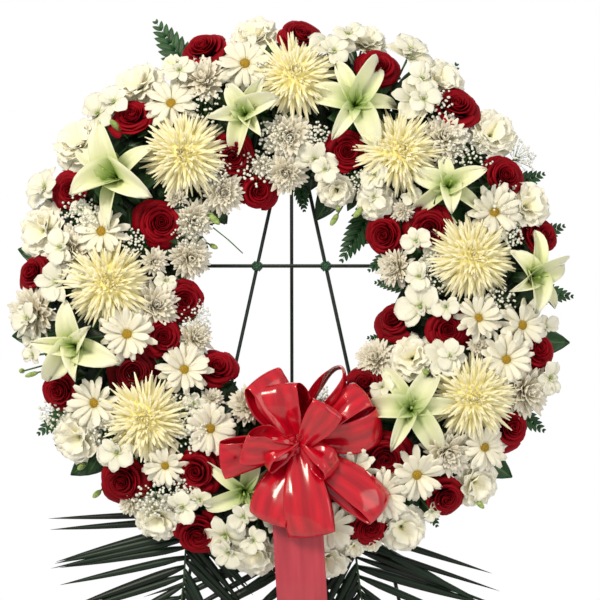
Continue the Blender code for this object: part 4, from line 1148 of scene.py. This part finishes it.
            centred = turned(rng.uniform(0, 6.28)) @ moved(0, -26 * MM, 0)
            bunch.sheet(WREATH @ matrix @ centred, 2, 5, blade.point, 0, rng.uniform(0.0, 0.5))
        if self.bed.sector(*self.twig[0]) == sector:
            joints = [WREATH @ Vector((x * MM, y * MM, self.twig_level - 8 * MM * k))
                      for k, (x, y) in enumerate(self.twig)]
            for low, high in zip(joints, joints[1:]):
                bunch.stalk(low, high, 1.1 * MM, 0.8 * MM, 2, 5)
        for number, (x, y) in enumerate(self.buds):
            if self.bed.sector(x, y) == sector:
                matrix, aim = self.bed.place(x * MM, y * MM, -self.bud_lift)
                self.bud(bunch, WREATH @ matrix, aim, random.Random(number))
        return bunch.make([node])

    def bud(self, bunch: Bunch, world: Matrix, aim: Vector, rng: random.Random) -> None:
        """Adds an unopened lily or orchid bud on its stem.

        Args:
            bunch: piece that it joins.
            world: matrix of its place.
            aim: where its stem comes from.
            rng: its own random draw.
        """
        length = rng.uniform(9, 14) * MM
        place = world @ turned(rng.uniform(-0.9, 0.9), "X") @ turned(rng.uniform(0, 3))
        bunch.ball(place @ stretched(0.36 * length, 0.36 * length, length), 1, 2, rng.uniform(0.2, 0.8))
        bunch.stalk(world @ (aim * 0.4), place @ Vector((0, 0, -0.8 * length)), 1.3 * MM, 1.2 * MM, 2, 6)


@dataclass
class Collars:
    """Leaves round the ring's outer and inner edge: cut fern leaves and plain broad ones.

    Each leaf: direction in degrees, length in millimetres, and 1 for a fern leaf or 0 for a broad one.
    """

    outer: tuple = (
        (2, 84, 1), (12, 86, 1), (28, 86, 1), (52, 94, 1), (61, 78, 0), (76, 74, 0), (97, 82, 0),
        (113, 122, 1), (137, 76, 0), (155, 84, 1), (172, 80, 0), (190, 84, 0), (206, 90, 1), (221, 84, 0),
        (232, 64, 1), (245, 70, 0), (257, 66, 1), (281, 70, 1), (292, 66, 0), (304, 70, 1), (318, 86, 0),
        (334, 88, 1), (348, 84, 0),
    )
    inner: tuple = (
        (4, 86, 1), (26, 92, 1), (37, 96, 0), (49, 124, 1), (66, 92, 0), (88, 84, 1), (128, 66, 0),
        (172, 62, 0), (214, 70, 1), (252, 60, 0), (304, 56, 0), (338, 84, 1),
    )
    outer_edge: float = 0.3112  # radii where the leaves' feet stand, just past the foam
    inner_edge: float = 0.2085
    outer_reach: float = 1.24  # fronds' tips show past the flowers
    level: float = 9 * MM
    pairs: int = 12  # of leaflets on a fern leaf
    stem: float = 1.3 * MM
    stem_step: float = 8  # degrees from one bend of the woody stems to the next

    def build(self) -> list[bpy.types.Object]:
        """Builds the eight quarters.

        Returns:
            The objects.
        """
        finishes = [LeafFinish("fern leaf", "2A5A2E", "15351A", "47743C").build(),
                    LeafFinish("broad leaf", "275428", "12300F", "4C7A3E", roughness=0.3).build(),
                    GrainFinish("woody stem", "2B4A20", "4A6A30", 3.0).build()]
        made = []
        for place, leaves, edge, sign in (("outer", self.outer, self.outer_edge, 1),
                                          ("inner", self.inner, self.inner_edge, -1)):
            for quarter in range(4):
                bunch = Bunch(f"leaves_{place}_{quarter + 1}", finishes)
                mine = [(n, leaf) for n, leaf in enumerate(leaf for leaf in leaves
                                                           if 90 * quarter <= leaf[0] < 90 * quarter + 90)]
                for number, (degrees, length, cut) in mine:
                    angle = radians(degrees)
                    foot = Vector((edge * cos(angle), edge * sin(angle), self.level + number % 2 * 2.5 * MM))
                    swing = radians(10 if number % 2 else -8)
                    turn = turned(angle - sign * pi / 2 + swing)
                    reach = self.outer_reach if sign > 0 else 1.0
                    self.leaf(bunch, WREATH @ Matrix.Translation(foot) @ turn, reach * length * MM, bool(cut),
                              random.Random(degrees))
                first, last = mine[0][1][0] - self.stem_step, mine[-1][1][0] + self.stem_step
                steps = max(2, round((last - first) / self.stem_step))
                for k in range(3):
                    ring = []
                    for i in range(steps + 1):
                        angle = radians(first + (last - first) * i / steps)
                        radius = edge + 1.4 * MM * cos(k * 2.1 + 0.9 * i)
                        ring.append(WREATH @ Vector((radius * cos(angle), radius * sin(angle),
                                                     self.level + 2.4 * MM * sin(k * 2.1 + 0.9 * i))))
                    for start, end in zip(ring, ring[1:]):
                        bunch.stalk(start, end, self.stem, self.stem, 2)
                made.append(bunch.make([f"leaf_collar_{place}_{quarter + 1}"]))
        return made

    def leaf(self, bunch: Bunch, place: Matrix, length: float, cut: bool, rng: random.Random) -> None:
        """Adds one leaf.

        Args:
            bunch: piece that it joins.
            place: matrix of its foot.
            length: its length.
            cut: a fern leaf of many leaflets, or else a plain leaf.
            rng: its own random draw.
        """
        if not cut:
            blade = Blade(length, 0.44 * length, rise=0.05, bend=-0.22, cup=0.25, widest=0.45, root=0.12,
                          taper=0.9, ruffle=0.01 * length, waves=1.5)
            bunch.sheet(place, 6, 9, blade.point, 1, rng.uniform(0.3, 0.9))
            return
        rib = Blade(length, 1.6 * MM, rise=0.06, bend=-0.22, cup=0.0, root=1.0, taper=0.6)
        bunch.sheet(place, 2, 8, rib.point, 0, 0.4)
        for i in range(self.pairs):
            share = (i + 0.6) / self.pairs
            size = 0.25 * length * sin(pi * min(1.0, 0.30 + 0.68 * share)) ** 0.8
            root = rib.point(0, share)
            for side in (-1, 1):
                leaflet = Blade(size, 0.34 * size + 1.5 * MM, rise=0.1, bend=-0.3, cup=0.2, widest=0.35,
                                root=0.5, taper=0.9, teeth=0.12, waves=1.2)
                turn = turned(-side * radians(52 - 20 * share))
                bunch.sheet(place @ Matrix.Translation(root) @ turn, 4, 4, leaflet.point, 0,
                            rng.uniform(0.2, 1.0))


@dataclass
class Palms:
    """Palm fronds that hang below: a rib, and long strap leaflets folded down their middle.

    Each frond: direction of its stalk and level of its rib, the rib's points, and for the leaflets of
    either side their length and the angle of the first and the last, in millimetres and degrees.
    """

    fronds: dict = field(default_factory=lambda: {
        "palm_left": (243, 10, ((-150, -313), (-152, -356), (-156, -420), (-166, -500), (-186, -580)),
                      ((205, 84, 44), (140, 46, 30))),
        "palm_right": (285, 10, ((88, -334), (92, -366), (100, -430), (114, -505), (138, -580)),
                       ((135, 46, 30), (225, 66, 36))),
        "palm_centre": (268, 1, ((-10, -350), (-12, -392), (-8, -455), (0, -525), (10, -600)),
                        ((225, 68, 34), (190, 54, 30))),
    })
    leaflets: int = 19
    stalk_foot: tuple = (0.284, 30 * MM)  # distance from the ring's centre, and level
    stalk_bend: tuple = (0.324, 27 * MM)
    jitter: float = 11  # degrees that a leaflet may turn either way

    def build(self) -> list[bpy.types.Object]:
        """Builds the fronds.

        Returns:
            The objects.
        """
        finishes = [LeafFinish("palm leaflet", "13281A", "060E08", "223A26", roughness=0.4, ribs=5,
                               parallel=True).build(),
                    GrainFinish("palm rib", "233D22", "3A5A33", 3.0).build()]
        made = []
        for name, (start, level, rib, rows) in self.fronds.items():
            rng = random.Random(name)
            bunch = Bunch(f"{name}_frond", finishes, 0.5 * MM)
            angle = radians(start)
            radial = Vector((cos(angle), sin(angle), 0))
            points = [radial * away + Vector((0, 0, up)) for away, up in (self.stalk_foot, self.stalk_bend)]
            middle = [Vector((x, y, level)) * MM for x, y in rib]
            route = points + middle
            for k, (low, high) in enumerate(zip(route, route[1:])):
                bunch.stalk(WREATH @ low, WREATH @ high, (2.4 - 0.25 * k) * MM, (2.2 - 0.25 * k) * MM, 1, 8)
            for side, (length, first, last) in zip((-1, 1), rows):
                for i in range(self.leaflets):
                    share = (i + 0.35 + (0.3 if side > 0 else 0)) / (self.leaflets - 0.2)
                    where = share * (len(middle) - 1)
                    k = min(int(where), len(middle) - 2)
                    root = middle[k].lerp(middle[k + 1], where - k)
                    along = middle[k + 1] - middle[k]
                    heading = atan2(along.y, along.x) + side * radians(first + (last - first) * share)
                    heading += radians(rng.uniform(-self.jitter, self.jitter))
                    size = length * MM * (1.0 - 0.45 * share ** 2) * rng.uniform(0.93, 1.0)
                    blade = Blade(size, rng.uniform(9, 15) * MM, rise=0.03, bend=rng.uniform(-0.14, 0.06),
                                  cup=-0.5, widest=0.22, root=0.4, taper=1.0)
                    place = Matrix.Translation(root + Vector((0, 0, rng.uniform(-1, 2) * MM)))
                    place = place @ turned(heading - pi / 2)
                    place = place @ turned(radians(-10 * side), "Y")
                    bunch.sheet(WREATH @ place, 4, 12, blade.point, 0, rng.uniform(0.1, 1.0))
            made.append(bunch.make([name]))
        return made


@dataclass
class Ribbon:
    """The bow of red florist's ribbon and its tail.

    Loops: direction in degrees, length, width, rise of the loop, level of its root and its roll.
    """

    centre: Vector = field(default_factory=lambda: Vector((0.012, -0.217, 0.132)))
    width: float = 70 * MM
    thickness: float = 0.5 * MM  # thicker than real ribbon, so that its edges show
    tail_length: float = 0.46
    tail_start: tuple = (-4.0, -20.0, -7.0)  # from the knot, in millimetres
    tail_bend: tuple = (1.0, -55.0, -7.0)  # from there
    tail_drift: float = 26 * MM  # to the right by the tail's end
    tail_wave: float = 5 * MM
    tail_steps: int = 6
    tail_widths: tuple = (34 * MM, 56 * MM)  # gathered under the bow
    notch: float = 26 * MM  # of the swallow's tail
    knot: float = 13 * MM
    pick_foot: Vector = field(default_factory=lambda: Vector((0.012, -0.2585, 0.032)))
    pick: float = 1.8 * MM
    loops: tuple = (
        (126, 108, 60, 38, -6, 34), (97, 86, 62, 46, 2, -30), (62, 124, 34, 44, -12, 62),
        (36, 116, 44, 34, -4, -26), (12, 118, 52, 34, -8, 30), (-37, 148, 56, 34, -6, -26),
        (-82, 128, 66, 44, 0, 4), (-112, 116, 60, 34, -6, 26), (188, 112, 48, 28, -8, -28),
        (62, 66, 48, 50, 12, 12), (160, 72, 44, 44, 10, -34), (-150, 56, 44, 34, 14, 30),
        (-48, 60, 40, 30, 12, -30),
    )

    def build(self) -> list[bpy.types.Object]:
        """Builds the bow and its tail.

        Returns:
            The objects.
        """
        face = SatinFinish("acetate ribbon", "D40624", "AC031C").build()
        back = SatinFinish("dull back of the ribbon", "C23A4A", "B02E40", roughness=0.5).build()
        return [self.bow(face), self.tail(back)]

    def loop(self, index: int) -> Shape:
        """Shape of one loop.

        Args:
            index: number of the loop.

        Returns:
            The shape: u across the ribbon, v from the knot out and back to it.
        """
        degrees, length, width, rise, root, roll = self.loops[index]
        rng = random.Random(index)
        angle, tilt = radians(degrees), radians(roll)
        out = Vector((cos(angle), sin(angle), 0))
        flat = Vector((-sin(angle), cos(angle), 0))
        side = cos(tilt) * flat + sin(tilt) * Vector((0, 0, 1))
        open_way = -sin(tilt) * flat + cos(tilt) * Vector((0, 0, 1))
        pleats, phase = rng.uniform(1.3, 2.2), rng.uniform(0, 6.28)
        folds = [(rng.uniform(-1.6, 1.6), rng.uniform(0.45, 0.95),
                  rng.choice((-1, 1)) * rng.uniform(12, 24) * MM) for _ in range(3)]
        width, rise = max(width, 40) * MM, max(rise, 30) * MM
        length *= MM

        def shape(u: float, v: float) -> Vector:
            """Place of a point of the loop.

            Args:
                u: from -1 to 1 across it.
                v: from 0 to 1 along it.

            Returns:
                The point.
            """
            theta = tau * v
            reach = (1 - cos(theta)) / 2
            belly = sin(theta) * sin(theta / 2) ** 1.4
            level = rise * (0.08 + 0.42 * reach - 0.52 * belly)
            gather = 1 - reach
            spread = 0.40 + 0.60 * sin(pi / 2 * min(1.0, 1.25 * reach)) ** 1.2
            crease = asin(sin(pleats * pi * u + phase)) / (pi / 2)
            level += crease * (2.5 if width > 55 * MM else 4.5) * gather ** 1.3 * MM
            level += sum(depth * reach * abs(reach - where + slant * 0.3 * u)
                         for slant, where, depth in folds)
            bulge = -0.03 * length * u * u * sin(pi * v)
            place = self.centre + out * (length * reach + bulge) + open_way * (level + root * MM)
            return place + side * (u * width / 2 * spread)

        return shape

    def bow(self, finish: bpy.types.Material) -> bpy.types.Object:
        """Builds the bow's loops, the knot's band and the pick in the foam.

        Args:
            finish: the ribbon's material.

        Returns:
            The object.
        """
        wire = GrainFinish("florist's pick", "2B4A20", "3C5E2C", 3.0).build()
        bunch = Bunch("bow_loops", [finish, wire], self.thickness)
        for index in range(len(self.loops)):
            bunch.sheet(WREATH, 16, 52, self.loop(index), 0)
        for k in range(2):
            spin = turned(radians(20 + 75 * k))

            def band(u: float, v: float, spin: Matrix = spin) -> Vector:
                """Place of a point of the band round the knot.

                Args:
                    u: from -1 to 1 across it.
                    v: from 0 to 1 along it.
                    spin: the band's turn about the knot.

                Returns:
                    The point.
                """
                turn = tau * v
                crease = 1.0 * MM * sin(9 * u)
                return self.centre + spin @ Vector((u * 9 * MM, (self.knot + crease) * sin(turn),
                                                    (self.knot + crease) * cos(turn)))

            bunch.sheet(WREATH, 8, 24, band, 0)
        pick_top = self.centre - Vector((0, 0.010, 0.004))
        bunch.stalk(WREATH @ self.pick_foot, WREATH @ pick_top, self.pick, self.pick, 1, 8)
        made = bunch.make(["ribbon_bow"])
        return made

    def tail(self, finish: bpy.types.Material) -> bpy.types.Object:
        """Builds the tail, which hangs from under the bow and ends in a swallow's tail.

        Args:
            finish: the ribbon's material.

        Returns:
            The object.
        """
        down = Vector((0, -cos(LEAN), -sin(LEAN)))
        start = self.centre + Vector(self.tail_start) * MM
        bend = start + Vector(self.tail_bend) * MM
        steps = self.tail_steps
        path = [start, bend]
        for i in range(steps + 1):
            swing = self.tail_wave * sin(3.2 * i / steps * pi)
            path.append(bend + Vector((self.tail_drift * i / steps, -26 * MM, 0))
                        + down * self.tail_length * i / steps + Vector((0, 0, swing)))
        widths = [*self.tail_widths] + [self.width] * (steps + 1)

        def shape(u: float, v: float) -> Vector:
            """Place of a point of the tail.

            Args:
                u: from -1 to 1 across it.
                v: from 0 to 1 along it.

            Returns:
                The point.
            """
            where = v * (len(path) - 1)
            k = min(int(where), len(path) - 2)
            share = where - k
            smooth = share * share * (3 - 2 * share)
            point = path[k].lerp(path[k + 1], share)
            point.z = path[k].z + (path[k + 1].z - path[k].z) * smooth
            half = (widths[k] + (widths[k + 1] - widths[k]) * share) / 2
            end = self.notch * max(0.0, v - 0.85) / 0.15 * (1 - abs(u))
            curl = 2.0 * MM * sin(5 * v) * u * u
            return point + Vector((u * half, 0, curl)) - down * end

        bunch = Bunch("tail_ribbon", [finish], self.thickness)
        bunch.sheet(WREATH, 12, 64, shape, 0)
        made = bunch.make(["ribbon_tail"])
        return made


@dataclass
class Easel:
    """The wire easel, tray and foam, whose CAD shapes stay, and the wound wire of the two ties."""

    turns: int = 6
    turn_sides: int = 14
    pitch: float = 2.4 * MM
    depth: float = 6.6 * MM  # half of a turn, from front to back
    height: float = 7.4 * MM
    tie_wire: float = 1.2 * MM

    def build(self) -> list[bpy.types.Object]:
        """Dresses the CAD nodes and winds the ties.

        Returns:
            The objects.
        """
        paint = GrainFinish("enamelled wire", "06140E", "0E281C", 6.0, roughness=0.38, relief=0.15,
                            depth_mm=0.15, coat=0.2).build()
        wire = GrainFinish("painted tie wire", "1C4A2E", "2F6A45", 2.0, roughness=0.35, coat=0.3).build()
        plastic = GrainFinish("polypropylene tray", "14301C", "1B3D24", 5.0, roughness=0.45,
                              relief=0.1).build()
        foam = GrainFinish("phenolic foam", "1E4A26", "3B7040", 1.6, roughness=0.95, relief=0.9,
                           depth_mm=0.8).build()
        made = []
        for node, finish in (("front_legs", paint), ("rear_leg", paint), ("crossbar", paint),
                             ("ring_tray", plastic), ("foam_ring", foam)):
            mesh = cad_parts[node].data
            mesh.materials.clear()
            mesh.materials.append(finish)
            made.append(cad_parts[node])
        return made + [self.lashing(node, wire) for node in ("tie_left", "tie_right")]

    def lashing(self, node: str, wire: bpy.types.Material) -> bpy.types.Object:
        """Winds wire round a crossing of crossbar and leg.

        Args:
            node: CAD node of the tie.
            wire: its material.

        Returns:
            The object.
        """
        low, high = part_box(node)
        centre = (Vector(low) + Vector(high)) / 2
        bunch = Bunch(f"{node}_turns", [wire])
        for k in range(self.turns):
            turn = turned(radians(45 if k % 2 else -45), "Y")
            shift = Vector(((k // 2 - 1) * self.pitch, 0, 0))
            ring = [centre + turn @ (shift + Vector((0, self.depth * cos(a), self.height * sin(a))))
                    for a in (tau * i / self.turn_sides for i in range(self.turn_sides + 1))]
            for start, end in zip(ring, ring[1:]):
                bunch.stalk(start, end, self.tie_wire, self.tie_wire, 0, 6)
        return bunch.make([node])


@dataclass
class Studio:
    """Camera at the photograph's angle, a pale floor and soft light."""

    distance: float = 2.40
    elevation: float = radians(5.0)
    seen_width: float = 0.862  # metres across the picture, at the wreath
    aim: Vector = field(default_factory=lambda: Vector((12.6 * MM, -10.0 * MM, 60 * MM)))
    sky_light: float = 0.52  # the white backdrop lights the wreath less than it shows
    floor_half: float = 2.0
    # Name, place, side in metres, power in watts and colour of each lamp
    lamps: tuple = (
        ("key", (-1.3, -2.2, 2.7), 0.8, 54.0, "FFF6E2"),
        ("fill", (1.9, -1.8, 1.5), 1.4, 13.0, "FFF8EC"),
        ("back", (0.4, 2.2, 2.4), 1.8, 14.0, "FFFFFF"),
    )

    def build(self) -> None:
        """Makes the camera, the floor, the lamps and the sky."""
        target = WREATH @ self.aim
        data = bpy.data.cameras.new("camera")
        data.sensor_width = 36.0
        data.lens = 36.0 * self.distance / self.seen_width
        camera = bpy.data.objects.new("camera", data)
        bpy.context.scene.collection.objects.link(camera)
        back = Vector((0, -cos(self.elevation), sin(self.elevation)))
        camera.location = target + back * self.distance
        camera.rotation_euler = (-back).to_track_quat("-Z", "Y").to_euler()
        bpy.context.scene.camera = camera
        self.floor()
        for name, place, size, power, colour in self.lamps:
            self.lamp(name, Vector(place), size, power, colour)
        world = bpy.data.worlds.new("sky")
        world.use_nodes = True
        sky = world.node_tree.nodes["Background"]
        sky.inputs["Color"].default_value = (1.0, 1.0, 1.0, 1.0)
        seen = add_node(world.node_tree, "ShaderNodeLightPath")
        strength = add_node(world.node_tree, "ShaderNodeMapRange", {
            "Value": seen.outputs["Is Camera Ray"], "To Min": self.sky_light, "To Max": 1.0})
        world.node_tree.links.new(strength.outputs[0], sky.inputs["Strength"])
        bpy.context.scene.world = world
        bpy.context.scene.view_settings.view_transform = "Standard"

    def floor(self) -> None:
        """Makes the pale floor."""
        bm = bmesh.new()
        bmesh.ops.create_grid(bm, x_segments=1, y_segments=1, size=self.floor_half)
        mesh = bpy.data.meshes.new("floor")
        bm.to_mesh(mesh)
        bm.free()
        mesh.materials.append(GrainFinish("pale floor", "E2E1DD", "ECEBE8", 60.0, 0.8, 0.05).build())
        made = bpy.data.objects.new("floor", mesh)
        bpy.context.scene.collection.objects.link(made)

    def lamp(self, name: str, place: Vector, size: float, power: float, colour: str) -> None:
        """Makes a soft square lamp that looks at the wreath.

        Args:
            name: its name.
            place: where it stands.
            size: its side.
            power: its power in watts.
            colour: its hex colour.
        """
        data = bpy.data.lights.new(name, "AREA")
        data.size, data.energy = size, power
        data.color = linear(colour)[:3]
        made = bpy.data.objects.new(name, data)
        bpy.context.scene.collection.objects.link(made)
        made.location = place
        made.rotation_euler = (RING_CENTRE - place).to_track_quat("-Z", "Y").to_euler()


def main() -> None:
    """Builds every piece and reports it."""
    logging.basicConfig(level=logging.INFO, format="%(message)s")
    bed = Bed()
    heads = bed.settled()
    pieces = Rose().build(heads)
    pieces += WhiteFlowers(bed).build(heads)
    for part in (Collars(), Palms(), Ribbon(), Easel()):
        pieces += part.build()
    for piece in pieces:
        log.info("%s: %d faces", piece.name, len(piece.data.polygons))
    Studio().build()


if __name__ == "__main__":
    main()
